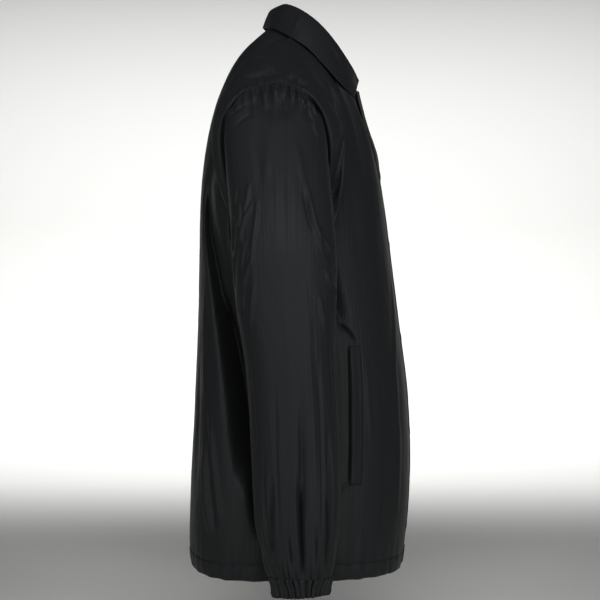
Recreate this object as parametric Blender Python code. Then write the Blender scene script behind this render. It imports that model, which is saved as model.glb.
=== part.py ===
"""A hollow nylon windbreaker in the shape that it takes when worn.

Metres, +Z up, the front faces -Y and the wearer's left is +X. The origin lies between the two neck points,
at the height where the shoulder seams leave the collar.
"""

import math
from collections import namedtuple

import bmesh
import bpy
import numpy as np
from mathutils import Matrix, Vector

# Cloth and seams
CLOTH = 0.0012  # one layer with its share of the turned seam allowances
CASING = 0.0020  # hem and cuff casings, two layers
COLLAR_CLOTH = 0.0016  # two layers
SEAM_GAP = 0.0003  # between pieces that are sewn together

# Heights of the body, from the neck points
HEM = -0.720
CASING_HEIGHT = 0.021
UNDERARM = -0.290
UPPER_LENGTH = 0.300  # of a panel, from the underarm to the shoulder seam
TOP = UNDERARM + UPPER_LENGTH
CASING_FULLNESS = 0.0012

# Neck seam: a sloping oval that rises over the shoulders
NECK_FRONT = -0.076
NECK_BACK = 0.047
NECK_FRONT_HEIGHT = -0.070
NECK_BACK_HEIGHT = 0.0145
NECK_HALF_WIDTH = 0.076
NECK_SIDE_RISE = 0.002
NECK_SLOPE_POWER = 1.3  # above 1 the back of the neck lies flatter than the front
SHOULDER_TURN = 1.967  # of the neck oval, in radians from the centre front

# Shoulder seam and armhole
SHOULDER_TIP = np.array([0.225, 0.022, -0.081])
SHOULDER_ARCH = 0.008
SHOULDER_FACING = (0.46, 0.0, 0.89)
ARMHOLE_CENTRE = np.array([0.205, 0.030, -0.185])
NECK_CENTRE = np.array([0.0, -0.0145, -0.030])
FRONT_ROUND = 2.5  # power of the oval body sections, front half
BACK_ROUND = 3.2  # back half, with squarer corners

# Centre front: the left front laps over the right one
LAP = 0.020
LAP_TURN = -0.071  # where a body section reaches that far past the centre, in radians
LAP_LIFT = CLOTH / 2 + SEAM_GAP / 2
LAP_BLEND = 0.050
EDGE_FLARE = 0.004  # how far the left edge stands off below the collar

FRONT_WIDTH = 0.290
BACK_WIDTH = 0.270

BodySection = namedtuple("BodySection", "height front back half_width side")
BODY_SECTIONS = (
    BodySection(-0.720, -0.1405, 0.1480, 0.203, 0.014),
    BodySection(-0.692, -0.1440, 0.1500, 0.205, 0.014),
    BodySection(-0.609, -0.1508, 0.1492, 0.203, 0.015),
    BodySection(-0.498, -0.1490, 0.1446, 0.198, 0.017),
    BodySection(-0.386, -0.1358, 0.1400, 0.191, 0.018),
    BodySection(-0.290, -0.1238, 0.1376, 0.185, 0.020),
)

CentrePoint = namedtuple("CentrePoint", "depth height")
CENTRE_FRONT = (
    CentrePoint(-0.1238, -0.290),
    CentrePoint(-0.1145, -0.220),
    CentrePoint(-0.1035, -0.164),
    CentrePoint(-0.0855, -0.108),
    CentrePoint(-0.0760, -0.070),
)
CENTRE_BACK = (
    CentrePoint(0.1376, -0.290),
    CentrePoint(0.1366, -0.220),
    CentrePoint(0.1275, -0.136),
    CentrePoint(0.1132, -0.081),
    CentrePoint(0.0855, -0.025),
    CentrePoint(0.0605, 0.0025),
    CentrePoint(0.0470, 0.0145),
)

SleeveSection = namedtuple("SleeveSection", "height out fore half_out half_fore")
SLEEVE_SECTIONS = (
    SleeveSection(-0.7045, 0.267, -0.0010, 0.0350, 0.0360),
    SleeveSection(-0.6910, 0.267, 0.0008, 0.0410, 0.0418),
    SleeveSection(-0.6720, 0.267, 0.0015, 0.0450, 0.0465),
    SleeveSection(-0.6470, 0.266, 0.0028, 0.0485, 0.0518),
    SleeveSection(-0.6090, 0.265, 0.0035, 0.0510, 0.0545),
    SleeveSection(-0.5470, 0.263, 0.0055, 0.0525, 0.0555),
    SleeveSection(-0.4840, 0.261, 0.0085, 0.0535, 0.0560),
    SleeveSection(-0.4210, 0.260, 0.0130, 0.0545, 0.0580),
    SleeveSection(-0.3590, 0.258, 0.0175, 0.0555, 0.0635),
    SleeveSection(-0.3100, 0.257, 0.0195, 0.0560, 0.0660),
)
SLEEVE_HEAD = 0.290  # length of the sleeve above its first level section
SLEEVE_LENGTH = SLEEVE_HEAD + SLEEVE_SECTIONS[-1].height - SLEEVE_SECTIONS[0].height
SLEEVE_ROUND = 0.510  # length round the sleeve head

CUFF_HEIGHT = 0.022
CUFF_TILT = 0.05  # the cuff hangs lower at the back
CUFF_DRAW = 0.0015  # how much narrower its lower edge is
CUFF_LEVELS = ((0.0, 1.0), (0.35, 0.8), (0.7, 1.0), (1.0, 0.5))  # share of its height, fullness of the ruches
RUCHES = 26
RUCHE_RISE = 0.0022
HEAD_GATHERS = 16
HEAD_GATHER_FROM = 0.350
HEAD_GATHER_TO = 0.670
HEAD_GATHER_RISE = 0.0020

CollarSection = namedtuple("CollarSection", "turn fold_x fold_y fold_z edge_x edge_y edge_z")
COLLAR_SECTIONS = (
    CollarSection(2, 0.006, -0.0812, -0.0545, 0.0735, -0.0730, -0.0852),
    CollarSection(30, 0.030, -0.0710, -0.0380, 0.0925, -0.0562, -0.0696),
    CollarSection(60, 0.060, -0.0460, -0.0054, 0.095, -0.0301, -0.0415),
    CollarSection(88, 0.068, -0.0240, 0.0178, 0.096, -0.0086, -0.0198),
    CollarSection(113, 0.062, -0.0040, 0.0335, 0.090, 0.0096, -0.0072),
    CollarSection(143, 0.038, 0.0170, 0.0460, 0.054, 0.0368, 0.0112),
    CollarSection(180, 0.000, 0.0328, 0.0475, 0.000, 0.0515, 0.0190),
)
COLLAR_ROLL = 0.0036  # radius of the fold
COLLAR_BELLY = 0.002  # how far the fall swells
COLLAR_END = 0.035  # turn of the neck seam at which the collar starts
COLLAR_SEAM_SHARE = 1.9  # of the seam gap, on the collar's side
COLLAR_KNOTS = (0.0, 0.20, 0.40, 0.46, 0.52, 0.76, 1.0)
COLLAR_STEPS = np.array([0.0, 0.13, 0.27, 0.38, 0.425, 0.46, 0.495, 0.54, 0.65, 0.77, 0.89, 1.0])

WELT_COLUMNS = (0.665, 0.732)
WELT_HEIGHTS = (-0.597, -0.418)
WELT_STAND_OFF = 0.0035
WELT_CLOTH = 0.0016  # folded double

SNAP_HEIGHTS = (-0.150, -0.280, -0.410, -0.540, -0.670)
SNAP_RADIUS = 0.0065
SNAP_RISE = 0.0011

# Large folds. Each path runs over its piece in metres: across from the side edge of a panel, or round from
# the underarm seam of a sleeve, then the height up the panel, or the way down the sleeve.
Fold = namedtuple("Fold", "path depth half_width fade")
# The valley between the back and the sleeve is pressed straight in from the side.
BACK_VALLEY = Fold(
    (
        (0.150, -0.190),
        (0.134, -0.292),
        (0.095, -0.359),
        (0.071, -0.425),
        (0.052, -0.491),
        (0.037, -0.558),
        (0.030, -0.640),
    ),
    0.036,
    0.017,
    0.30,
)
BACK_FOLD_COLUMN = 0.61  # share of the columns of the back that run along its deep fold

FoldLine = namedtuple("FoldLine", "height across")
BACK_FOLD_LINE = (
    FoldLine(-0.720, 0.046),
    FoldLine(-0.640, 0.034),
    FoldLine(-0.558, 0.038),
    FoldLine(-0.491, 0.052),
    FoldLine(-0.425, 0.071),
    FoldLine(-0.359, 0.095),
    FoldLine(-0.292, 0.134),
    FoldLine(-0.190, 0.145),
    FoldLine(0.010, 0.0888),
)
FRONT_FOLDS = (
    Fold(((0.006, -0.21), (0.020, -0.17), (0.042, -0.13)), 0.008, 0.010, 0.35),
    Fold(((0.072, -0.29), (0.079, -0.35), (0.098, -0.415)), 0.007, 0.010, 0.40),
    Fold(((0.030, -0.33), (0.040, -0.45), (0.048, -0.60)), 0.006, 0.018, 0.45),
)
SLEEVE_FOLDS = (
    Fold(((0.340, 0.20), (0.360, 0.25), (0.375, 0.29)), 0.005, 0.009, 0.40),
    Fold(((0.335, 0.25), (0.360, 0.30), (0.385, 0.35)), 0.006, 0.010, 0.40),
    Fold(((0.150, 0.16), (0.128, 0.24), (0.115, 0.31)), 0.005, 0.010, 0.40),
    Fold(((0.085, 0.27), (0.110, 0.33), (0.135, 0.37)), 0.006, 0.011, 0.40),
    Fold(((0.245, 0.42), (0.243, 0.55), (0.246, 0.67)), 0.007, 0.008, 0.45),
    Fold(((0.186, 0.50), (0.188, 0.58), (0.190, 0.67)), 0.007, 0.007, 0.45),
    Fold(((0.300, 0.54), (0.302, 0.60), (0.303, 0.67)), 0.005, 0.006, 0.45),
    Fold(((0.400, 0.52), (0.400, 0.60), (0.402, 0.67)), 0.006, 0.008, 0.45),
    Fold(((0.060, 0.52), (0.062, 0.60), (0.061, 0.67)), 0.006, 0.008, 0.45),
)

# Columns and rows of the panels
FRONT_COLUMNS = np.array(
    [0, 0.0432, 0.0865, 0.15, 0.25, 0.36, 0.48, 0.55, 0.61, 0.665, 0.732, 0.775, 0.81, 0.85, 0.90, 0.95, 1.0]
)
BACK_COLUMNS = np.array(
    [0, 0.10, 0.20, 0.30, 0.40, 0.48, 0.53, 0.575, 0.61, 0.645, 0.68, 0.72, 0.77, 0.82, 0.88, 0.94, 1.0]
)
LOWER_ROWS = np.array(
    [HEM + CASING_HEIGHT, -0.65, -0.597, -0.55, -0.505, -0.46, -0.418, -0.375, -0.33, UNDERARM]
)
ARMHOLE_STEPS = 14
UPPER_ROWS = UNDERARM + UPPER_LENGTH * np.arange(1, ARMHOLE_STEPS + 1) / ARMHOLE_STEPS

Finish = namedtuple("Finish", "name colour roughness metallic")
SHELL_NYLON = Finish("black shell nylon", (0.012, 0.012, 0.013), 0.45, 0.0)
SNAP_ENAMEL = Finish("black enamelled snap", (0.010, 0.010, 0.011), 0.30, 0.6)


def ease(t):
    """Smooth step from 0 to 1."""
    t = np.clip(t, 0.0, 1.0)
    return t * t * (3.0 - 2.0 * t)


def blend(first, second, share):
    """Mix of two points or numbers, share 0 giving the first."""
    return first + (second - first) * share


def unit(vectors):
    """Vectors scaled to length one."""
    return vectors / np.maximum(np.linalg.norm(vectors, axis=-1, keepdims=True), 1e-12)


def point(x, y, z):
    """Coordinates, each a number or an array, joined as points."""
    return np.stack(np.broadcast_arrays(x, y, z), axis=-1).astype(float)


def hermite(start, leave, end, arrive, t):
    """Cubic from start to end that leaves and arrives along the given vectors."""
    return (
        (1 + 2 * t) * (1 - t) ** 2 * start
        + t * (1 - t) ** 2 * leave
        + t * t * (3 - 2 * t) * end
        + t * t * (t - 1) * arrive
    )


def curve_through(knots, values, at):
    """Smooth curve through the values at the knots."""
    knots = np.asarray(knots, float)
    values = np.asarray(values, float)
    slopes = np.gradient(values, knots, axis=0)
    i = np.clip(np.searchsorted(knots, at) - 1, 0, len(knots) - 2)
    span = knots[i + 1] - knots[i]
    t = (at - knots[i]) / span
    wide = t.shape + (1,) * (values.ndim - 1)
    span = span.reshape(wide)
    t = t.reshape(wide)
    return hermite(values[i], slopes[i] * span, values[i + 1], slopes[i + 1] * span, t)


def column(rows, name):
    """One column of a table."""
    return np.array([getattr(row, name) for row in rows])


def signed_power(value, power):
    """Power that keeps the sign."""
    return np.sign(value) * np.abs(value) ** power


def fold_relief(folds, across, along):
    """Height of the folds over a piece: soft troughs along paths, or ridges where the depth is below zero."""
    relief = np.zeros(np.broadcast(across, along).shape)
    for fold in folds:
        corners = np.array(fold.path)
        path = curve_through(np.linspace(0, 1, len(corners)), corners, np.linspace(0, 1, 13))
        nearest = np.full(relief.shape, np.inf)
        share = np.zeros(relief.shape)
        for i, (start, end) in enumerate(zip(path[:-1], path[1:])):
            step = end - start
            t = ((across - start[0]) * step[0] + (along - start[1]) * step[1]) / (step @ step)
            t = np.clip(t, 0, 1)
            away = np.hypot(across - start[0] - t * step[0], along - start[1] - t * step[1])
            share = np.where(away < nearest, (i + t) / (len(path) - 1), share)
            nearest = np.minimum(away, nearest)
        strength = ease(share / fold.fade) * ease((1 - share) / fold.fade)
        relief -= fold.depth * strength * np.exp(-((nearest / fold.half_width) ** 2))
    return relief


def neck_point(turn):
    """Point on the neck seam, turned from the centre front over the wearer's left."""
    fore = np.cos(turn)
    y = blend(NECK_BACK, NECK_FRONT, (1 + fore) / 2)
    slope = ((1 + fore) / 2) ** NECK_SLOPE_POWER
    z = blend(NECK_BACK_HEIGHT, NECK_FRONT_HEIGHT, slope) + NECK_SIDE_RISE * np.sin(turn) ** 2
    return point(NECK_HALF_WIDTH * np.sin(turn), y, z)


def shoulder_point(share):
    """Point on the shoulder seam, from the neck to the tip."""
    return blend(neck_point(SHOULDER_TURN), SHOULDER_TIP, share[..., None]) + point(
        0, 0, SHOULDER_ARCH * np.sin(math.pi * share)
    )


class Face:
    """What sets the front half apart from the back half of the body."""

    def __init__(self, centre, profile, power, turn_from, neck_from, neck_share, width):
        self.centre = centre
        self.round = power
        self.turn_from = turn_from
        self.neck_from = neck_from
        self.neck_share = neck_share
        self.width = width
        self.sign = -1.0 if centre == "front" else 1.0
        self.profile = np.array([(0.0, row.depth, row.height) for row in profile])
        self.profile[:-1, 1] -= self.sign * CLOTH / 2
        lengths = np.linalg.norm(np.diff(self.profile, axis=0), axis=1)
        self.profile_share = np.append(0, np.cumsum(lengths)) / lengths.sum()
        self.centre_u = -turn_from / (math.pi / 2 - turn_from)

    def from_centre(self, u):
        """Distance of a column from the centre line, alike on both sides of it."""
        return np.abs(u - self.centre_u)

    def neck_turn(self, u):
        """Turn of the neck seam where a column meets it, alike on both sides of the centre line."""
        ends = (0, 2 * self.centre_u, self.neck_share)
        turns = (self.neck_from, abs(self.neck_from), SHOULDER_TURN)
        return np.interp(u, ends, turns)


LAP_NECK_TURN = -math.asin(LAP / NECK_HALF_WIDTH)
FRONT = Face("front", CENTRE_FRONT, FRONT_ROUND, LAP_TURN, LAP_NECK_TURN, 0.48, FRONT_WIDTH)
BACK = Face("back", CENTRE_BACK, BACK_ROUND, 0.0, math.pi, 0.33, BACK_WIDTH)


def section_point(face, u, height):
    """Point on an oval body section below the underarm, from the centre to the side seam."""
    turn = blend(face.turn_from, math.pi / 2, u)
    heights = column(BODY_SECTIONS, "height")
    centre = curve_through(heights, column(BODY_SECTIONS, face.centre), height) - face.sign * CLOTH / 2
    side = curve_through(heights, column(BODY_SECTIONS, "side"), height)
    half_width = curve_through(heights, column(BODY_SECTIONS, "half_width"), height)
    x = half_width * signed_power(np.sin(turn), 2 / face.round)
    y = side + (centre - side) * np.maximum(np.cos(turn), 0) ** (2 / face.round)
    return point(x, y, height)


def top_point(face, u):
    """Point on the upper edge of a panel: along the neck seam, then along the shoulder seam."""
    on_shoulder = np.maximum((u - face.neck_share) / (1 - face.neck_share), 0)
    on_neck = neck_point(face.neck_turn(u))
    return np.where((u < face.neck_share)[..., None], on_neck, shoulder_point(on_shoulder))


def chest_point(face, u, share):
    """Point between the underarm level and the upper edge: each column rises and rolls over the shoulder."""
    low = section_point(face, u, np.full_like(u, UNDERARM))
    high = top_point(face, u)
    reach = np.linalg.norm(high - low, axis=-1)
    rise = unit(low - section_point(face, u, np.full_like(u, UNDERARM - 0.02)))
    to_armhole = ease((u - 0.68) / 0.32)
    leave = unit(blend(rise, np.array([0.0, 0.93 * face.sign, 0.35]), to_armhole[..., None]))
    on_neck = ease(face.from_centre(u) / (face.neck_share - face.centre_u))
    on_shoulder = ease((u - face.neck_share) / (1 - face.neck_share))
    if face is FRONT:
        arrive = blend(np.array([0.0, 0.30, 1.0]), np.array([0.0, 0.88, 0.50]), on_neck[..., None])
        arrive = blend(arrive, np.array([0.05, 0.97, 0.25]), on_shoulder[..., None])
        pull = blend(blend(1.0, 0.92, on_neck), 1.43, on_shoulder)
    else:
        arrive = blend(np.array([0.0, -0.95, 0.35]), np.array([0.0, -1.0, -0.02]), on_neck[..., None])
        arrive = blend(arrive, np.array([0.0, -1.0, 0.0]), on_shoulder[..., None])
        pull = blend(blend(1.3, 0.90, on_neck), 2.0, on_shoulder)
    leave_pull = blend(1.0, 0.72, to_armhole)
    return hermite(
        low,
        leave * (reach * leave_pull)[..., None],
        high,
        unit(arrive) * (reach * pull)[..., None],
        share[..., None],
    )


def panel_base(face, u, height):
    """Point on a body panel before its folds. Above the underarm the height runs on up the cloth."""
    share = np.clip((height - UNDERARM) / UPPER_LENGTH, 0, 1)
    lower = section_point(face, u, np.minimum(height, UNDERARM))
    upper = chest_point(face, u, share)
    middle = chest_point(face, np.full_like(u, face.centre_u), share)
    to_profile = curve_through(face.profile_share, face.profile, share) - middle
    to_profile[..., 0] = 0
    upper += to_profile * (1 - ease(face.from_centre(u) / 0.6))[..., None]
    return np.where((height <= UNDERARM)[..., None], lower, upper)


def outward(surface, u, height, sign):
    """Unit normals of a panel, out from the body."""
    du = surface(np.minimum(u + 1e-4, 1), height) - surface(np.maximum(u - 1e-4, 0), height)
    dv = surface(u, np.minimum(height + 1e-4, TOP)) - surface(u, height - 1e-4)
    return -sign * unit(np.cross(du, dv))


def panel_surface(face, lap=0, lift=LAP_LIFT):
    """Function of a body panel on the wearer's left: lap is 1 for the upper front, -1 for the lower one."""
    folds = () if face is BACK else FRONT_FOLDS
    valleys = (BACK_VALLEY,) if face is BACK else ()

    def base(u, height):
        across = (1 - u) * face.width
        inward = fold_relief(valleys, across, height) * ease(across / 0.012) * ease((TOP - height) / 0.05)
        return panel_base(face, u, height) + point(inward, 0, 0)

    def surface(u, height):
        u, height = np.broadcast_arrays(np.asarray(u, float), np.asarray(height, float))
        across = (1 - u) * face.width
        relief = fold_relief(folds, across, height)
        relief *= ease(across / 0.012) * ease((TOP - height) / 0.05)
        from_edge = u * face.width
        relief += lap * lift * (1 - ease((from_edge - 2 * LAP) / LAP_BLEND))
        if lap > 0:
            relief += EDGE_FLARE * (1 - ease(from_edge / 0.04)) * ease((height + 0.16) / 0.08)
        return base(u, height) + relief[..., None] * outward(base, u, height, face.sign)

    return surface


def armhole_point(turn):
    """Point on the armhole seam, from the underarm up the front and down the back."""
    share = np.where(turn <= 0.5, 2 * turn, 2 - 2 * turn)
    height = UNDERARM + UPPER_LENGTH * share
    front = panel_base(FRONT, np.ones_like(turn), height)
    back = panel_base(BACK, np.ones_like(turn), height)
    return np.where((turn <= 0.5)[..., None], front, back)


def armhole_seam(turn):
    """Points of the armhole seam, the way its walls face, and the way across it to the sleeve."""
    seam = armhole_point(turn)
    away = (seam - ARMHOLE_CENTRE) * np.array([0.0, 1.0, 1.0])
    facing = unit(unit(away) + np.array([0.65, 0.0, 0.0]))
    along = armhole_point((turn + 1e-3) % 1.0) - armhole_point((turn - 1e-3) % 1.0)
    across = unit(np.cross(along, facing))
    return seam, facing, across * np.sign(across[..., :1])


def neck_seam(turn):
    """Points of the neck seam, the way its walls face, and the way across it to the collar."""
    seam = neck_point(turn)
    away = (seam - NECK_CENTRE) * np.array([1.0, 1.0, 0.0])
    facing = unit(unit(away) + np.array([0.0, 0.0, 1.0]))
    along = neck_point(turn + 1e-3) - neck_point(turn - 1e-3)
    across = unit(np.cross(facing, along))
    return seam, facing, across * np.sign(across[..., 2:])


def sleeve_section(turn, height):
    """Point on a level section of the sleeve."""
    heights = column(SLEEVE_SECTIONS, "height")
    out = curve_through(heights, column(SLEEVE_SECTIONS, "out"), height)
    fore = curve_through(heights, column(SLEEVE_SECTIONS, "fore"), height)
    half_out = curve_through(heights, column(SLEEVE_SECTIONS, "half_out"), height)
    half_fore = curve_through(heights, column(SLEEVE_SECTIONS, "half_fore"), height)
    angle = 2 * math.pi * turn
    return point(out - half_out * np.cos(angle), fore - half_fore * np.sin(angle), height)


def sleeve_base(turn, down):
    """Point on the sleeve before its folds, down from the armhole seam."""
    turn = turn % 1.0
    top = SLEEVE_SECTIONS[-1].height
    share = np.clip(down / SLEEVE_HEAD, 0, 1)
    start = armhole_point(turn)
    end = sleeve_section(turn, np.full_like(turn, top))
    reach = np.linalg.norm(end - start, axis=-1)
    upward = (1 - np.cos(2 * math.pi * turn)) / 2
    leave = unit(point(0.80, 0.0, blend(-0.25, -0.55, upward))) * (reach * 0.75)[..., None]
    arrive = point(0.0, 0.0, -1.0) * (reach * 1.05)[..., None]
    head = hermite(start, leave, end, arrive, share[..., None])
    below = sleeve_section(turn, np.minimum(top - (down - SLEEVE_HEAD), top))
    return np.where((down <= SLEEVE_HEAD)[..., None], head, below)


def sleeve_normal(surface, turn, down):
    """Unit normals of the sleeve, which closes on itself."""
    du = surface(turn + 1e-4, down) - surface(turn - 1e-4, down)
    dv = surface(turn, down + 1e-4) - surface(turn, np.maximum(down - 1e-4, 0))
    return unit(np.cross(dv, du))


def sleeve_surface(turn, down):
    """Point on the sleeve with its large folds."""
    relief = fold_relief(SLEEVE_FOLDS, (turn % 1.0) * SLEEVE_ROUND, down)
    relief *= ease(down / 0.02) * ease((SLEEVE_LENGTH - down) / 0.012)
    return sleeve_base(turn, down) + relief[..., None] * sleeve_normal(sleeve_base, turn, down)


def gathers(turn, count, rise, start=0.0, end=1.0):
    """Rise of evenly sewn gathers between two turns."""
    share = (turn - start) / (end - start)
    wave = (1 - np.cos(2 * math.pi * count * share)) / 2
    return rise * wave * ((share >= 0) & (share <= 1))


def sleeve_gathers(turn, down):
    """Rise of the gathers below the sleeve head and above the cuff."""
    at_head = ease(down / 0.006) * (1 - ease((down - 0.01) / 0.05))
    at_cuff = ease((down - SLEEVE_LENGTH + 0.035) / 0.028)
    head = gathers(turn, HEAD_GATHERS, HEAD_GATHER_RISE, HEAD_GATHER_FROM, HEAD_GATHER_TO)
    return at_head * head + at_cuff * gathers(turn, RUCHES, RUCHE_RISE)


def material(finish):
    """Principled material of a finish, made once."""
    made = bpy.data.materials.get(finish.name) or bpy.data.materials.new(finish.name)
    made.use_nodes = True
    shader = made.node_tree.nodes["Principled BSDF"]
    shader.inputs["Base Color"].default_value = (*finish.colour, 1)
    shader.inputs["Roughness"].default_value = finish.roughness
    shader.inputs["Metallic"].default_value = finish.metallic
    return made


def add_solid(name, points, faces, finish):
    """Named object from points and faces."""
    mesh = bpy.data.meshes.new(name)
    mesh.from_pydata([tuple(p) for p in points], [], [tuple(int(i) for i in f) for f in faces])
    mesh.update()
    mesh.materials.append(material(finish))
    made = bpy.data.objects.new(name, mesh)
    bpy.context.scene.collection.objects.link(made)


def on_side(points, side):
    """Points of the wearer's left, mirrored to the right where side is -1."""
    return points * np.array([side, 1.0, 1.0])


def add_wall(name, outer, inner, flip=False, finish=SHELL_NYLON):
    """Closed wall between two grids of points, joined round their edges."""
    rows, columns = outer.shape[:2]
    index = np.arange(rows * columns).reshape(rows, columns)
    corners = [index[:-1, :-1], index[:-1, 1:], index[1:, 1:], index[1:, :-1]]
    sheet = np.stack(corners, axis=-1).reshape(-1, 4)
    rim = np.concatenate([index[0], index[1:, -1], index[-1, -2::-1], index[-2:0:-1, 0]])
    ahead = np.roll(rim, -1)
    under = rows * columns
    edge = np.stack([ahead, rim, rim + under, ahead + under], axis=-1)
    faces = np.concatenate([sheet, sheet[:, ::-1] + under, edge])
    if flip:
        faces = faces[:, ::-1]
    points = np.concatenate([outer.reshape(-1, 3), inner.reshape(-1, 3)])
    add_solid(name, points, faces, finish)


def zip_rings(first, second):
    """Triangles between two closed rings of turns, which may differ in number."""
    a = np.append(first, first[0] + 1)
    b = np.append(second, second[0] + 1)
    faces = []
    i = j = 0
    while i < len(first) or j < len(second):
        here = (0, i % len(first))
        there = (1, j % len(second))
        if j >= len(second) or (i < len(first) and a[i + 1] <= b[j + 1]):
            i += 1
            faces.append((here, (0, i % len(first)), there))
        else:
            j += 1
            faces.append((here, (1, j % len(second)), there))
    return faces


def add_tube(name, rings, side):
    """Closed tube wall from rings of turns and points, which run down its outside and back up its inside."""
    starts = np.append(0, np.cumsum([len(turns) for turns, _ in rings]))
    faces = []
    for k, (turns, _) in enumerate(rings):
        following = (k + 1) % len(rings)
        base = (starts[k], starts[following])
        for face in zip_rings(turns, rings[following][0]):
            faces.append([base[ring] + i for ring, i in face])
    if side > 0:
        faces = [face[::-1] for face in faces]
    points = np.concatenate([on_side(points, side) for _, points in rings])
    add_solid(name, points, faces, SHELL_NYLON)


def back_columns(rows):
    """Columns of the back at each row, drawn over so that one of them runs along the deep fold."""
    heights = column(BACK_FOLD_LINE, "height")
    across = curve_through(heights, column(BACK_FOLD_LINE, "across"), rows)
    line = 1 - across[:, None] / BACK_WIDTH
    inner = BACK_COLUMNS * line / BACK_FOLD_COLUMN
    outer = 1 - (1 - BACK_COLUMNS) * (1 - line) / (1 - BACK_FOLD_COLUMN)
    return np.where(BACK_COLUMNS < BACK_FOLD_COLUMN, inner, outer)


def panel_grid(face, u, rows, lap=0):
    """Mid surface and wall directions of one half of a panel, with half a seam gap left along its edges."""
    height = np.broadcast_to(rows[:, None], u.shape)
    surface = panel_surface(face, lap)
    middle = surface(u, height)
    facing = outward(surface, u, height, face.sign)
    half_gap = SEAM_GAP / 2
    away = np.array([0.0, face.sign, 0.0])

    side = rows <= UNDERARM
    middle[side, -1] += away * half_gap
    facing[side, -1] = (1.0, 0.0, 0.0)

    top = u[-1]
    seam, neck_facing, across = neck_seam(face.neck_turn(top))
    on_neck = top < face.neck_share + 1e-3
    on_shoulder = top > face.neck_share - 1e-3
    middle[-1, on_shoulder] += away * half_gap
    facing[-1, on_shoulder] = SHOULDER_FACING
    beyond = np.sum((middle[-1] - seam) * across, axis=-1, keepdims=True)
    middle[-1, on_neck] -= (across * (beyond + half_gap))[on_neck]
    facing[-1, on_neck] = neck_facing[on_neck]

    armhole = rows >= UNDERARM
    share = (rows[armhole] - UNDERARM) / UPPER_LENGTH / 2
    seam, arm_facing, across = armhole_seam((1 - share if face is BACK else share) % 1.0)
    seam[[0, -1]] += away * half_gap
    middle[armhole, -1] = seam - across * half_gap
    facing[armhole, -1] = arm_facing
    return middle, facing


def add_front(name, side, lap):
    """Front panel. Returns its outside points and the way they face, on the wearer's left."""
    rows = np.concatenate([LOWER_ROWS, UPPER_ROWS])
    rows[0] += SEAM_GAP / 2
    u = np.broadcast_to(FRONT_COLUMNS, (len(rows), len(FRONT_COLUMNS)))
    middle, facing = panel_grid(FRONT, u, rows, lap)
    outer = middle + facing * CLOTH / 2
    inner = middle - facing * CLOTH / 2
    add_wall(name, on_side(outer, side), on_side(inner, side), flip=side < 0)
    return outer, facing


def both_halves(half):
    """A half panel joined to its mirror image along the centre."""
    return np.concatenate([on_side(half[:, :0:-1], -1), half], axis=1)


def add_back():
    """Back panel, both halves in one piece."""
    rows = np.concatenate([LOWER_ROWS, UPPER_ROWS])
    rows[0] += SEAM_GAP / 2
    middle, facing = panel_grid(BACK, back_columns(rows), rows)
    facing[:, 0] = unit(facing[:, 0] * np.array([0.0, 1.0, 1.0]))
    outer = both_halves(middle + facing * CLOTH / 2)
    inner = both_halves(middle - facing * CLOTH / 2)
    add_wall("back", outer, inner, flip=True)


def casing_grid(face, u, rows, lap):
    """Outside and inside of a length of the hem casing, fuller at its middle."""
    height = np.broadcast_to(rows[:, None], u.shape)
    surface = panel_surface(face, lap, (CASING + CASING_FULLNESS + SEAM_GAP) / 2)
    middle = surface(u, height)
    facing = outward(surface, u, height, face.sign)
    middle[:, -1] += np.array([0.0, face.sign, 0.0]) * SEAM_GAP / 2
    facing[:, -1] = (1.0, 0.0, 0.0)
    facing[:, 0] = unit(facing[:, 0] * np.array([float(face is FRONT), 1.0, 1.0]))
    fullness = CASING_FULLNESS * np.sin(math.pi * np.linspace(0, 1, len(rows)))[:, None, None]
    return middle + facing * (CASING / 2 + fullness), middle - facing * CASING / 2


def add_hem():
    """Hem casing in three lengths, one below each panel."""
    top = HEM + CASING_HEIGHT - SEAM_GAP / 2
    rows = np.array([HEM, blend(HEM, top, 0.33), blend(HEM, top, 0.67), top])
    outer, inner = casing_grid(BACK, back_columns(rows), rows, 0)
    add_wall("hem_back", both_halves(outer), both_halves(inner), flip=True)
    u = np.broadcast_to(FRONT_COLUMNS, (len(rows), len(FRONT_COLUMNS)))
    for name, side, lap in (("hem_front_right", -1, -1), ("hem_front_left", 1, 1)):
        outer, inner = casing_grid(FRONT, u, rows, lap)
        add_wall(name, on_side(outer, side), on_side(inner, side), flip=side < 0)


def armhole_turns():
    """Turns of the armhole seam that meet the rows of the body panels."""
    return np.arange(2 * ARMHOLE_STEPS) / (2 * ARMHOLE_STEPS)


def even_turns(count):
    """Turns in equal steps."""
    return np.arange(count) / count


def head_turns():
    """Turns for the gathered head: four to a gather, and wide steps elsewhere."""
    gathered = np.linspace(HEAD_GATHER_FROM, HEAD_GATHER_TO, 4 * HEAD_GATHERS + 1)
    front = np.linspace(0, HEAD_GATHER_FROM, 10, endpoint=False)
    back = np.linspace(HEAD_GATHER_TO, 1, 10)[1:-1]
    return np.concatenate([front, gathered, back])


def sleeve_ring(turns, down, rise):
    """Ring of the sleeve at one level, moved out from its mid surface."""
    down = np.full_like(turns, down)
    return turns, sleeve_surface(turns, down) + rise[..., None] * sleeve_normal(sleeve_surface, turns, down)


def wrist_ring(turns, rise):
    """Ring of the sleeve at the cuff seam, moved out level."""
    down = np.full_like(turns, SLEEVE_LENGTH - SEAM_GAP / 2)
    away = sleeve_normal(sleeve_base, turns, down) * np.array([1.0, 1.0, 0.0])
    return turns, sleeve_base(turns, down) + unit(away) * rise[..., None]


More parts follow.
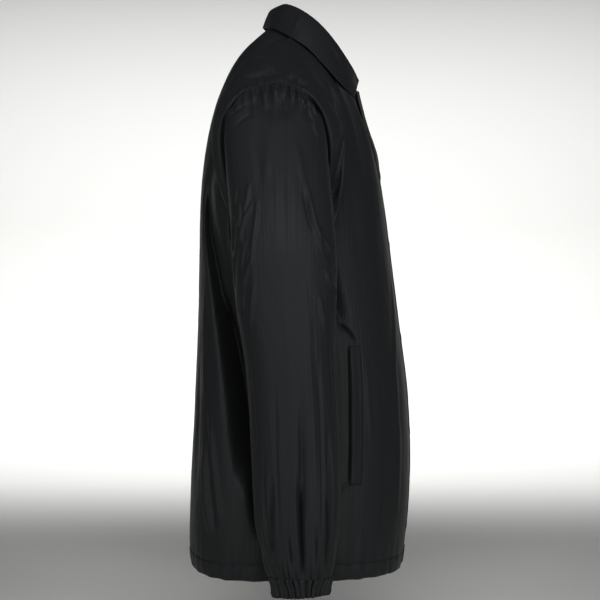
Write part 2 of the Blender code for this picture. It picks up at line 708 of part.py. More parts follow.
def add_sleeve(name, side):
    """Sleeve: its gathers rise from the outside of the wall over a plain inside."""
    ruched = even_turns(4 * RUCHES)
    plain = even_turns(32)
    seam_turns = armhole_turns()
    seam, facing, across = armhole_seam(seam_turns)
    seam = seam + across * SEAM_GAP / 2
    outside = [(0.006, head_turns()), (0.016, head_turns())]
    outside += [(0.035, even_turns(56)), (0.065, even_turns(44))]
    outside += [(down, even_turns(40)) for down in np.linspace(0.10, 0.615, 13)]
    outside += [(0.645, even_turns(60)), (0.665, ruched), (SLEEVE_LENGTH - 0.006, ruched)]
    rings = [(seam_turns, seam + facing * CLOTH / 2)]
    for down, turns in outside:
        rings.append(sleeve_ring(turns, down, CLOTH / 2 + sleeve_gathers(turns, down)))
    rings.append(wrist_ring(ruched, CLOTH / 2 + gathers(ruched, RUCHES, RUCHE_RISE)))
    rings.append(wrist_ring(plain, np.full_like(plain, -CLOTH / 2)))
    for down in np.linspace(0.655, 0.05, 13):
        rings.append(sleeve_ring(plain, down, np.full_like(plain, -CLOTH / 2)))
    rings.append((seam_turns, seam - facing * CLOTH / 2))
    add_tube(name, rings, side)


def cuff_ring(turns, share, rise):
    """Ring of the cuff, from its seam down to its lower edge."""
    wrist = SLEEVE_SECTIONS[0]
    top = wrist.height - SEAM_GAP / 2
    spread = rise - CUFF_DRAW * share
    angle = 2 * math.pi * turns
    x = wrist.out - (wrist.half_out + spread) * np.cos(angle)
    y = wrist.fore - (wrist.half_fore + spread) * np.sin(angle)
    z = top - (CUFF_HEIGHT + CUFF_TILT * (y - wrist.fore)) * share
    return turns, point(x, y, z)


def add_cuff(name, side):
    """Elastic cuff: ruches on the outside of a plain band."""
    ruched = even_turns(4 * RUCHES)
    plain = even_turns(32)
    wave = gathers(ruched, RUCHES, RUCHE_RISE)
    inside = np.full_like(plain, CLOTH / 2 - CASING)
    rings = [cuff_ring(ruched, share, CLOTH / 2 + wave * full) for share, full in CUFF_LEVELS]
    rings += [cuff_ring(plain, 1.0, inside), cuff_ring(plain, 0.0, inside)]
    add_tube(name, rings, side)


def neck_stops():
    """Turns at which the columns of the front and then of the back meet the neck seam."""
    front = FRONT.neck_turn(FRONT_COLUMNS[FRONT_COLUMNS < FRONT.neck_share + 1e-3])
    top = back_columns(UPPER_ROWS[-1:])[0]
    back = BACK.neck_turn(top[top < BACK.neck_share - 1e-3])[::-1]
    return np.concatenate([front, back])


def collar_foot(turn):
    """Points of the neck seam on the collar's side, straight between the stops, and the way they face."""
    stops = neck_stops()
    seam, facing, across = neck_seam(stops)
    foot = seam + across * SEAM_GAP * COLLAR_SEAM_SHARE
    between = [np.interp(turn, stops, values) for values in np.concatenate([foot, facing], axis=1).T]
    return point(*between[:3]), unit(point(*between[3:]))


def collar_path(turn):
    """Points that the collar passes at one turn: up the stand, over the fold and down the fall."""
    turns = np.radians(column(COLLAR_SECTIONS, "turn"))
    fold = point(*[curve_through(turns, column(COLLAR_SECTIONS, "fold_" + axis), turn) for axis in "xyz"])
    edge = point(*[curve_through(turns, column(COLLAR_SECTIONS, "edge_" + axis), turn) for axis in "xyz"])
    foot, facing = collar_foot(turn)
    up = unit(fold - foot)
    fall = edge - fold
    out = unit(fall - np.sum(fall * up, axis=-1, keepdims=True) * up)
    stand_top = fold - (up + out) * COLLAR_ROLL
    fall_top = fold - (up - out) * COLLAR_ROLL
    belly = blend(fall_top, edge, 0.5) + (out + up) * COLLAR_BELLY
    return np.stack([foot, blend(foot, stand_top, 0.5), stand_top, fold, fall_top, belly, edge]), facing


def add_collar():
    """Turned collar, from the centre front round the back to the centre front."""
    stops = neck_stops()
    stops = np.append(COLLAR_END, stops[stops > COLLAR_END])
    turn = np.sort(np.append(stops, (stops[1:-1] + stops[2:]) / 2))
    path, foot_facing = collar_path(turn)
    middle = curve_through(COLLAR_KNOTS, path, COLLAR_STEPS)
    along_turn = np.gradient(middle, axis=1)
    along_turn[:, -1] = (-1.0, 0.0, 0.0)
    facing = unit(np.cross(np.gradient(middle, axis=0), along_turn))
    facing[0] = -foot_facing
    facing[:, -1] = unit(facing[:, -1] * np.array([0.0, 1.0, 1.0]))
    cloth = np.where(COLLAR_STEPS > 0, COLLAR_CLOTH, CLOTH)[:, None, None]
    outer = both_halves((middle + facing * cloth / 2)[:, ::-1])
    inner = both_halves((middle - facing * cloth / 2)[:, ::-1])
    add_wall("collar", outer, inner)


def add_welt(name, side, outer, facing):
    """Pocket welt: lies on the outside of the front, sewn along its front edge and free along the other."""
    columns = np.searchsorted(FRONT_COLUMNS, WELT_COLUMNS)
    rows = np.searchsorted(LOWER_ROWS, WELT_HEIGHTS)
    over = np.ix_(range(rows[0], rows[1] + 1), columns)
    lift = np.array([SEAM_GAP, WELT_STAND_OFF])[:, None]
    inner = outer[over] + facing[over] * lift
    add_wall(name, on_side(inner + facing[over] * WELT_CLOTH, side), on_side(inner, side), flip=side < 0)


def add_snaps(outer, facing):
    """Press studs down the centre of the left front."""
    rows = np.concatenate([LOWER_ROWS, UPPER_ROWS])
    centre = np.searchsorted(FRONT_COLUMNS, FRONT.centre_u - 1e-3)
    for number, height in enumerate(SNAP_HEIGHTS, 1):
        place = [np.interp(height, rows, outer[:, centre, axis]) for axis in range(3)]
        axis = Vector([np.interp(height, rows, facing[:, centre, axis]) for axis in range(3)]).normalized()
        seat = Vector(place) + axis * (SEAM_GAP + SNAP_RISE / 2)
        turned = Matrix.Translation(seat) @ Vector((0, 0, 1)).rotation_difference(axis).to_matrix().to_4x4()
        mesh = bmesh.new()
        bmesh.ops.create_cone(
            mesh,
            cap_ends=True,
            segments=16,
            radius1=SNAP_RADIUS,
            radius2=SNAP_RADIUS * 0.75,
            depth=SNAP_RISE,
            matrix=turned,
        )
        snap = bpy.data.meshes.new(f"snap_{number}")
        mesh.to_mesh(snap)
        mesh.free()
        snap.materials.append(material(SNAP_ENAMEL))
        bpy.context.scene.collection.objects.link(bpy.data.objects.new(f"snap_{number}", snap))


def main():
    for old in list(bpy.data.objects):
        bpy.data.objects.remove(old)
    add_back()
    right_outer, right_facing = add_front("front_right", -1, -1)
    left_outer, left_facing = add_front("front_left", 1, 1)
    add_hem()
    add_collar()
    for word, side in (("right", -1), ("left", 1)):
        add_sleeve("sleeve_" + word, side)
        add_cuff("cuff_" + word, side)
    add_welt("pocket_welt_right", -1, right_outer, right_facing)
    add_welt("pocket_welt_left", 1, left_outer, left_facing)
    add_snaps(left_outer, left_facing)


main()
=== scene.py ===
import math
from functools import partial

import bpy
import numpy as np
from mathutils import Matrix


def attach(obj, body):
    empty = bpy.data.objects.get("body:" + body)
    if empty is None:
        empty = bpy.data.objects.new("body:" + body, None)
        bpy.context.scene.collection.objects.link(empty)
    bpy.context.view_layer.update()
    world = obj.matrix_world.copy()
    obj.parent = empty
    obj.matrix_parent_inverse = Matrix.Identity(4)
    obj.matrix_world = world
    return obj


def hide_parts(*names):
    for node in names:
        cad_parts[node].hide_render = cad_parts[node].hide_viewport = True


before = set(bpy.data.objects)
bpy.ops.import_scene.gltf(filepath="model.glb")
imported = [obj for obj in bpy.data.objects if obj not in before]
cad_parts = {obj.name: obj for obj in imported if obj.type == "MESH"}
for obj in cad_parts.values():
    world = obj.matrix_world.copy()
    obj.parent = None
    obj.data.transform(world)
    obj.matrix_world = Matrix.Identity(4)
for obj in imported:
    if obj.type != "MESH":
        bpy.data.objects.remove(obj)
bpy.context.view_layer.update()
print("frame loaded:", len(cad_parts), "solids")


# smooth step: three t squared less two t cubed, held between 0 and 1
def ease(t):
    t = np.clip(t, 0, 1)
    return t * t * (3 - 2 * t)


# straight mix of two values by a share
def mix(first, second, share):
    return first + (second - first) * share


# each vector over its own length
def unit(v):
    return v / np.maximum(np.linalg.norm(v, axis=-1, keepdims=True), 1e-12)


# three coordinates joined as points
def xyz(x, y, z):
    return np.stack(np.broadcast_arrays(x, y, z), axis=-1).astype(float)


# cubic between two points with a given run at each end
def hermite(start, leave, end, arrive, t):
    return ((1 + 2 * t) * (1 - t) ** 2 * start + t * (1 - t) ** 2 * leave
            + t * t * (3 - 2 * t) * end + t * t * (t - 1) * arrive)


# cubic through a table's values, each slope taken from the rows on both sides
def curveThrough(knots, values, at):
    knots, values = np.asarray(knots, float), np.asarray(values, float)
    slopes = np.gradient(values, knots, axis=0)
    i = np.clip(np.searchsorted(knots, at) - 1, 0, len(knots) - 2)
    span = knots[i + 1] - knots[i]
    t = (at - knots[i]) / span
    wide = t.shape + (1,) * (values.ndim - 1)
    span, t = span.reshape(wide), t.reshape(wide)
    return hermite(values[i], slopes[i] * span, values[i + 1], slopes[i + 1] * span, t)


# cross product of the small steps along both parameters of a surface
def normalsOf(surface, a, b, lowA=-9, highA=9, lowB=-9, highB=9):
    da = surface(np.minimum(a + 1e-4, highA), b) - surface(np.maximum(a - 1e-4, lowA), b)
    db = surface(a, np.minimum(b + 1e-4, highB)) - surface(a, np.maximum(b - 1e-4, lowB))
    return unit(np.cross(da, db))


# sum over the creases of depth times a bell of the distance to the path, fading at both path ends
# a depth above zero presses a trough, below zero it lifts a ridge
def creaseRelief(creases, across, along):
    relief = np.zeros(across.shape)
    for path, depth, halfWidth, fade in creases:
        corners = np.array(path)
        line = curveThrough(np.linspace(0, 1, len(corners)), corners, np.linspace(0, 1, 13))
        low, high = line.min(0) - 4 * halfWidth, line.max(0) + 4 * halfWidth
        near = (across > low[0]) & (across < high[0]) & (along > low[1]) & (along < high[1])
        a, b = across[near], along[near]
        best, share = np.full(a.shape, np.inf), np.zeros(a.shape)
        for i in range(12):
            step = line[i + 1] - line[i]
            t = np.clip(((a - line[i, 0]) * step[0] + (b - line[i, 1]) * step[1]) / (step @ step), 0, 1)
            away = np.hypot(a - line[i, 0] - t * step[0], b - line[i, 1] - t * step[1])
            share = np.where(away < best, (i + t) / 12, share)
            best = np.minimum(best, away)
        strength = ease(share / fade) * ease((1 - share) / fade)
        relief[near] -= depth * strength * np.exp(-((best / halfWidth) ** 2))
    return relief


swellWaves = ((0.081, 0.31), (0.052, -0.2), (0.037, 0.12), (0.023, -0.06), (0.03, 1.2))  # length, lean


# slow swells of the cloth: products of sines, long up the piece and short across it
def swells(across, along, rise, start):
    total = np.zeros(across.shape)
    for number, (length, lean) in enumerate(swellWaves):
        phase = 2 * math.pi * (across + lean * along) / length + start + 1.7 * number
        total += np.sin(phase) * np.sin(2 * math.pi * along / (3.1 * length) + 2.3 * number + start)
    return rise * total / 2


# the same creases for the side that the photo hides, moved and a little weaker
def otherSide(creases, across, along, share):
    return [(np.array(path) + (across, along), depth * share, width, fade)
            for path, depth, width, fade in creases]


# creases written in millimetres: path, depth and half width over a thousand, the fade as it is
def inMetres(creases):
    return [(np.array(path) / 1000, depth / 1000, width / 1000, fade) for path, depth, width, fade in creases]


hem, casing, underarm, upperLength = -0.72, 0.021, -0.29, 0.3
top = underarm + upperLength
cloth = 0.0008  # shell with its seam allowances, drawn as one wall
halfWall = 0.0006  # from the profiles to the middle of the solids' wall
# half the overlap of the fronts, the width in which its step fades, half that step
lap, lapBlend, lapLift = 0.02, 0.05, 0.00075

body = {
    "height": (-0.72, -0.692, -0.609, -0.498, -0.386, -0.29),
    "front": (-0.1405, -0.144, -0.1508, -0.149, -0.1358, -0.1238),
    "back": (0.148, 0.15, 0.1492, 0.1446, 0.14, 0.1376),
    "halfWidth": (0.203, 0.205, 0.203, 0.198, 0.191, 0.185),
    "side": (0.014, 0.014, 0.015, 0.017, 0.018, 0.02),
}
neck = {"front": -0.076, "back": 0.047, "frontHeight": -0.07, "backHeight": 0.0145,
        "halfWidth": 0.076, "sideRise": 0.002, "slopePower": 1.3, "shoulderTurn": 1.967}
shoulderTip, shoulderArch = np.array([0.225, 0.022, -0.081]), 0.008
frontFace = {
    "centre": "front", "sign": -1, "turnFrom": -0.071, "neckShare": 0.48, "width": 0.29,
    "round": 2.5,  # power of the oval sections
    "neckFrom": -math.asin(lap / neck["halfWidth"]), "centreU": 0.071 / (math.pi / 2 + 0.071),
    "depth": (-0.1238, -0.1145, -0.1035, -0.0855, -0.076),
    "rise": (-0.29, -0.22, -0.164, -0.108, -0.07),
    # way and strength of the cloth's arrival at its upper edge: at the centre, the neck point, the tip
    "arrive": ((0, 0.3, 1.0), (0, 0.88, 0.5), (0.05, 0.97, 0.25)), "pull": (1.0, 0.92, 1.43),
}
backFace = {
    "centre": "back", "sign": 1, "turnFrom": 0.0, "neckShare": 0.33, "width": 0.27,
    "round": 3.2,  # squarer corners than the front
    "neckFrom": math.pi, "centreU": 0.0,
    "depth": (0.1376, 0.1366, 0.1275, 0.1132, 0.0855, 0.0605, 0.047),
    "rise": (-0.29, -0.22, -0.136, -0.081, -0.025, 0.0025, 0.0145),
    "arrive": ((0, -0.95, 0.35), (0, -1.0, -0.02), (0, -1.0, 0.0)), "pull": (1.3, 0.9, 2.0),
}


# sloping oval, turned from the centre front over the wearer's left, a little higher at its sides
def neckPoint(turn):
    fore = (1 + np.cos(turn)) / 2
    slope = mix(neck["backHeight"], neck["frontHeight"], fore ** neck["slopePower"])
    z = slope + neck["sideRise"] * np.sin(turn) ** 2
    return xyz(neck["halfWidth"] * np.sin(turn), mix(neck["back"], neck["front"], fore), z)


# straight from the neck to the tip with a low arch
def shoulderPoint(share):
    line = mix(neckPoint(np.array(neck["shoulderTurn"])), shoulderTip, share[..., None])
    return line + xyz(0, 0, shoulderArch * np.sin(math.pi * share))


# point of a powered oval, from the centre line to the side seam
def sectionPoint(face, u, height):
    turn = mix(face["turnFrom"], math.pi / 2, u)
    centre = curveThrough(body["height"], body[face["centre"]], height) - face["sign"] * halfWall
    side = curveThrough(body["height"], body["side"], height)
    halfWidth = curveThrough(body["height"], body["halfWidth"], height)
    x = halfWidth * np.sign(np.sin(turn)) * np.abs(np.sin(turn)) ** (2 / face["round"])
    y = side + (centre - side) * np.maximum(np.cos(turn), 0) ** (2 / face["round"])
    return xyz(x, y, height)


# upper edge: along the neck oval, then along the shoulder seam
def topPoint(face, u):
    ends = (0, 2 * face["centreU"], face["neckShare"])
    turns = (face["neckFrom"], abs(face["neckFrom"]), neck["shoulderTurn"])
    onShoulder = np.maximum((u - face["neckShare"]) / (1 - face["neckShare"]), 0)
    onNeck = neckPoint(np.interp(u, ends, turns))
    return np.where((u < face["neckShare"])[..., None], onNeck, shoulderPoint(onShoulder))


# cubic from the underarm section to the upper edge, which rolls over the shoulder
def chestPoint(face, u, share):
    low, high = sectionPoint(face, u, np.full_like(u, underarm)), topPoint(face, u)
    reach = np.linalg.norm(high - low, axis=-1)
    rise = unit(low - sectionPoint(face, u, np.full_like(u, underarm - 0.02)))
    toArmhole = ease((u - 0.68) / 0.32)
    leave = unit(mix(rise, np.array([0, 0.93 * face["sign"], 0.35]), toArmhole[..., None]))
    onNeck = ease(np.abs(u - face["centreU"]) / (face["neckShare"] - face["centreU"]))
    onShoulder = ease((u - face["neckShare"]) / (1 - face["neckShare"]))
    atCentre, atNeck, atTip = np.array(face["arrive"])
    arrive = mix(mix(atCentre, atNeck, onNeck[..., None]), atTip, onShoulder[..., None])
    pull = mix(mix(face["pull"][0], face["pull"][1], onNeck), face["pull"][2], onShoulder)
    leavePull = mix(1.0, 0.72, toArmhole)
    return hermite(low, leave * (reach * leavePull)[..., None], high,
                   unit(arrive) * (reach * pull)[..., None], share[..., None])


# body panel without folds: ovals below the underarm, cubics above it drawn to the centre profile
def panelBase(face, u, height):
    share = np.clip((height - underarm) / upperLength, 0, 1)
    depth, rise = np.array(face["depth"]), np.array(face["rise"])
    depth[:-1] -= face["sign"] * halfWall
    steps = np.hypot(np.diff(depth), np.diff(rise))
    knots = np.append(0, np.cumsum(steps)) / steps.sum()
    profile = curveThrough(knots, np.stack([0 * depth, depth, rise], 1), share)
    profile -= chestPoint(face, np.full_like(u, face["centreU"]), share)
    profile[..., 0] = 0
    nearCentre = 1 - ease(np.abs(u - face["centreU"]) / 0.6)
    upper = chestPoint(face, u, share) + profile * nearCentre[..., None]
    lower = sectionPoint(face, u, np.minimum(height, underarm))
    return np.where((height <= underarm)[..., None], lower, upper)


armhole = {  # how deep the seam lies and how far the sunk strip runs on from it over each piece
    "turn": (0.0, 0.06, 0.14, 0.22, 0.26, 0.33, 0.4, 0.435, 0.47,
             0.53, 0.57, 0.63, 0.68, 0.74, 0.8, 0.88, 0.94, 1.0),
    "sunk": (0.0, 0.0, 0.007, 0.011, 0.015, 0.016, 0.015, 0.008, 0.002,
             0.002, 0.002, 0.004, 0.013, 0.013, 0.008, 0.004, 0.0, 0.0),
    "panel": (0.01, 0.01, 0.008, 0.005, 0.0035, 0.003, 0.0035, 0.0045, 0.005,
              0.005, 0.005, 0.005, 0.0045, 0.0045, 0.008, 0.01, 0.01, 0.01),
    "sleeve": (0.013, 0.013, 0.01, 0.009, 0.008, 0.008, 0.007, 0.008, 0.012,
               0.012, 0.01, 0.008, 0.006, 0.006, 0.012, 0.013, 0.013, 0.013),
}


# the armhole seam pulled straight in under the cloth on both sides of it
def seamSink(turn, away, piece):
    sunk, reach = [np.interp(turn, armhole["turn"], armhole[k]) for k in ("sunk", piece)]
    return xyz(-sunk * np.exp(-((away / reach) ** 2)), 0, 0)


# uneven small puckers round the hem: a sine whose pitch and height drift
def hemPuckers(across, rise):
    drift = 1.3 * np.sin(across * 31) + 0.9 * np.sin(across * 87)
    wave = np.sin(2 * math.pi * across / panel["puckerPitch"] + drift)
    return rise * (0.6 + 0.4 * np.sin(across * 23 + 1)) * wave


frontPiece = {
    "valley": inMetres([  # hollow beside the sleeve, pressed straight in from the side
        (((48, -106), (32, -126), (14, -150), (14, -180), (26, -216), (50, -258)), 13, 14, 0.3),
    ]),
    "columns": ((0.0, 0.64, 60), (0.64, 0.69, 24), (0.69, 0.715, 6),  # runs from the edge to the side
                (0.715, 0.765, 32), (0.765, 0.9, 18), (0.9, 1.0, 24)),
    "creases": inMetres([  # path in mm from the side seam and up, depth, half width, share that fades
        (((6, -210), (20, -170), (42, -130)), 8, 10, 0.35),
        (((58, -290), (62, -350), (80, -410)), 13, 10, 0.4),
        (((30, -330), (40, -450), (48, -600)), 6, 18, 0.45),
        (((139, 4), (82, -19), (59, -45), (88, -80), (150, -115)), -3.5, 9, 0.3),
        (((100, 0), (45, -35), (52, -90), (105, -135)), 3, 9, 0.35),
        (((66, -386), (83, -400), (97, -417)), 7.5, 2.2, 0.35),
        (((74, -596), (66, -604), (56, -616)), 3, 3.5, 0.3),
        (((242, -290), (205, -400), (182, -465), (180, -560), (172.5, -680)), -1.6, 7, 0.2),
        (((120, -160), (112, -240), (118, -330)), 1.6, 16, 0.45),
        (((10.6, 8.5), (19.3, -1.7), (26.1, -14.9)), -4.2, 5, 0.35),
        (((15, -4), (16, -14), (19.3, -28)), 4.2, 4.2, 0.35),
        (((155, -520), (150, -600), (146, -690)), 1.8, 12, 0.4),
        (((112, -430), (108, -500), (118, -560)), -1.2, 5, 0.4),
    ]),
    "slit": ((0.0795, -0.418), (0.0755, -0.5), (0.0715, -0.597)),  # mouth of the pocket
    "weltSeam": ((0.101, -0.42), (0.0968, -0.505), (0.0925, -0.596)),  # front edge of the welt
}
backPiece = {
    "valley": inMetres([  # between the back and the sleeve, pressed straight in from the side
        (((212, -188), (165, -248), (128, -300), (98, -359), (71, -425), (51, -491), (39, -550),
          (32, -615)), 52, 21, 0.19),
        (((92, -335), (74, -385), (53, -435), (37, -495), (26, -560), (20, -620),
          (16, -680)), 46, 12, 0.22),
        (((30, -190), (60, -245), (82, -295)), 12, 7, 0.4),
    ]),
    "columns": ((0.0, 0.32, 30), (0.32, 0.88, 52), (0.88, 1.0, 22)),  # from the centre to the side
    "creases": inMetres([
        (((150.5, -530), (136, -620), (107, -672)), -4, 7, 0.3),
        (((135, -490), (104, -597), (88, -660)), -3.5, 6, 0.3),
        (((143, -510), (120, -610), (98, -668)), 3, 6, 0.35),
        (((206, -187), (120, -199), (20, -178)), 3.5, 4.5, 0.3),
        (((196, -200), (120, -211), (34, -192)), 3, 4.5, 0.3),
        (((176, -330), (162, -420), (152, -500)), -2.2, 6, 0.35),
        (((190, -420), (186, -520), (178, -640)), 2.5, 12, 0.4),
        (((235, -300), (232, -450), (240, -600)), 2.2, 16, 0.45),
        (((3, -30), (16, -36), (32, -48)), 1.8, 2.8, 0.4),
        (((3, -42), (14, -49), (28, -62)), 2, 2.8, 0.4),
        (((3, -55), (16, -62), (34, -78)), 1.6, 2.8, 0.4),
        (((3, -72), (12, -80), (26, -94)), 2, 3, 0.4),
        (((3, -18), (14, -22), (26, -30)), 1.6, 2.8, 0.4),
        (((120, -10), (105, -60), (110, -130)), 2.5, 12, 0.4),
        (((54, -58), (86, -45), (68, -22), (46, -7.6), (16, 5)), -5.6, 7.5, 0.25),
        (((34, -34), (30, -21), (26, -9), (10, 2)), 5, 5, 0.25),
    ]),
}
panel = {  # small forms of the body panels, in metres
    "swell": 0.00016, "hemPucker": 0.0009, "puckerPitch": 0.027, "puckerReach": 0.045, "tuck": 0.0012,
    "frontRoll": 0.0018, "backRoll": 0.0004, "rollAt": 0.011, "rollHalf": 0.006,  # rolled armhole edge
    "tipPucker": 0.002, "tipPitch": 0.0064, "tipReach": 0.011,  # puckers at the shoulder tip
    "seamDip": 0.0006, "seamFade": 0.004, "edgeLift": 0.0016, "edgeBulge": 0.007,
    "droop": 0.0006, "hemRise": 0.008,
}


# body panel with its folds: relief along the normals of the plain panel, faded at the sewn edges
def panelPoints(face, creases, u, height, lapSide=0, start=0.0, tuck=panel["tuck"]):
    onFront = face is frontFace
    across, fromEdge = (1 - u) * face["width"], u * face["width"]

    # plain panel with its valleys pressed straight in
    def base(a, b):
        side = (1 - a) * face["width"]
        valley = (frontPiece if onFront else backPiece)["valley"]
        inward = creaseRelief(valley, side, b) * ease(side / 0.012) * ease((top - b) / 0.05)
        return panelBase(face, a, b) + xyz(inward, 0, 0)

    relief = creaseRelief(creases, across, height) + swells(across, height, panel["swell"], start)
    nearHem = 1 - ease((height - hem - casing) / panel["puckerReach"])
    relief += hemPuckers(across + start, panel["hemPucker"]) * nearHem
    onArmhole = ease((height - underarm - 0.06) / 0.08) * (1 - ease((height - top + 0.1) / 0.06))
    roll = panel["frontRoll" if onFront else "backRoll"]
    relief += roll * onArmhole * np.exp(-(((across - panel["rollAt"]) / panel["rollHalf"]) ** 2))
    nearTip = ease((height - top + 0.055) / 0.03)
    waves = np.sin(2 * math.pi * height / panel["tipPitch"] + 1.5 * np.sin(height * 210))
    relief -= panel["tipPucker"] * nearTip * (1 + waves) * np.exp(-((across / panel["tipReach"]) ** 2))
    offSeam = ease(across / panel["seamFade"])
    relief = relief * offSeam * ease((top - height) / 0.01) + panel["seamDip"] * (offSeam - 1)
    relief -= tuck * ease((hem + casing - height) / 0.004)  # runs on behind the hem casing
    if lapSide:
        relief += lapSide * lapLift * (1 - ease((fromEdge - 2 * lap) / lapBlend))
    if lapSide > 0:  # free edge of the left front, lifted above the chest
        relief += panel["edgeLift"] * (1 - ease(fromEdge / 0.016)) * ease((height + 0.16) / 0.07)
        bulge = np.exp(-(((fromEdge - 0.024) / 0.013) ** 2))
        relief += panel["edgeBulge"] * bulge * ease((height + 0.2) / 0.1)
    normal = -face["sign"] * normalsOf(base, u, height, 0, 1, -2, top)
    fromTip = 0.17 * (1 - u) / (1 - face["neckShare"])
    droop = panel["droop"] * ease((height - top + 0.075) / 0.05) * ease(fromTip / 0.004)
    droop *= np.exp(-(((fromTip - 0.008) / 0.007) ** 2)) * (0.6 + 0.4 * np.sin(height * 110 + 2 * start))
    share = np.clip((height - underarm) / upperLength, 0, 1)
    sunk = seamSink(share / 2 if onFront else 1 - share / 2, across, "panel")
    # the hem rides up a little at the centre back
    rise = 0 if onFront else panel["hemRise"]
    lift = rise * (1 - ease(u / 0.75)) * (1 - ease((height - hem) / 0.12))
    along = droop[..., None] * np.array([0.8, 0, 0.6]) + xyz(0, 0, lift)
    return base(u, height) + relief[..., None] * normal + along + sunk


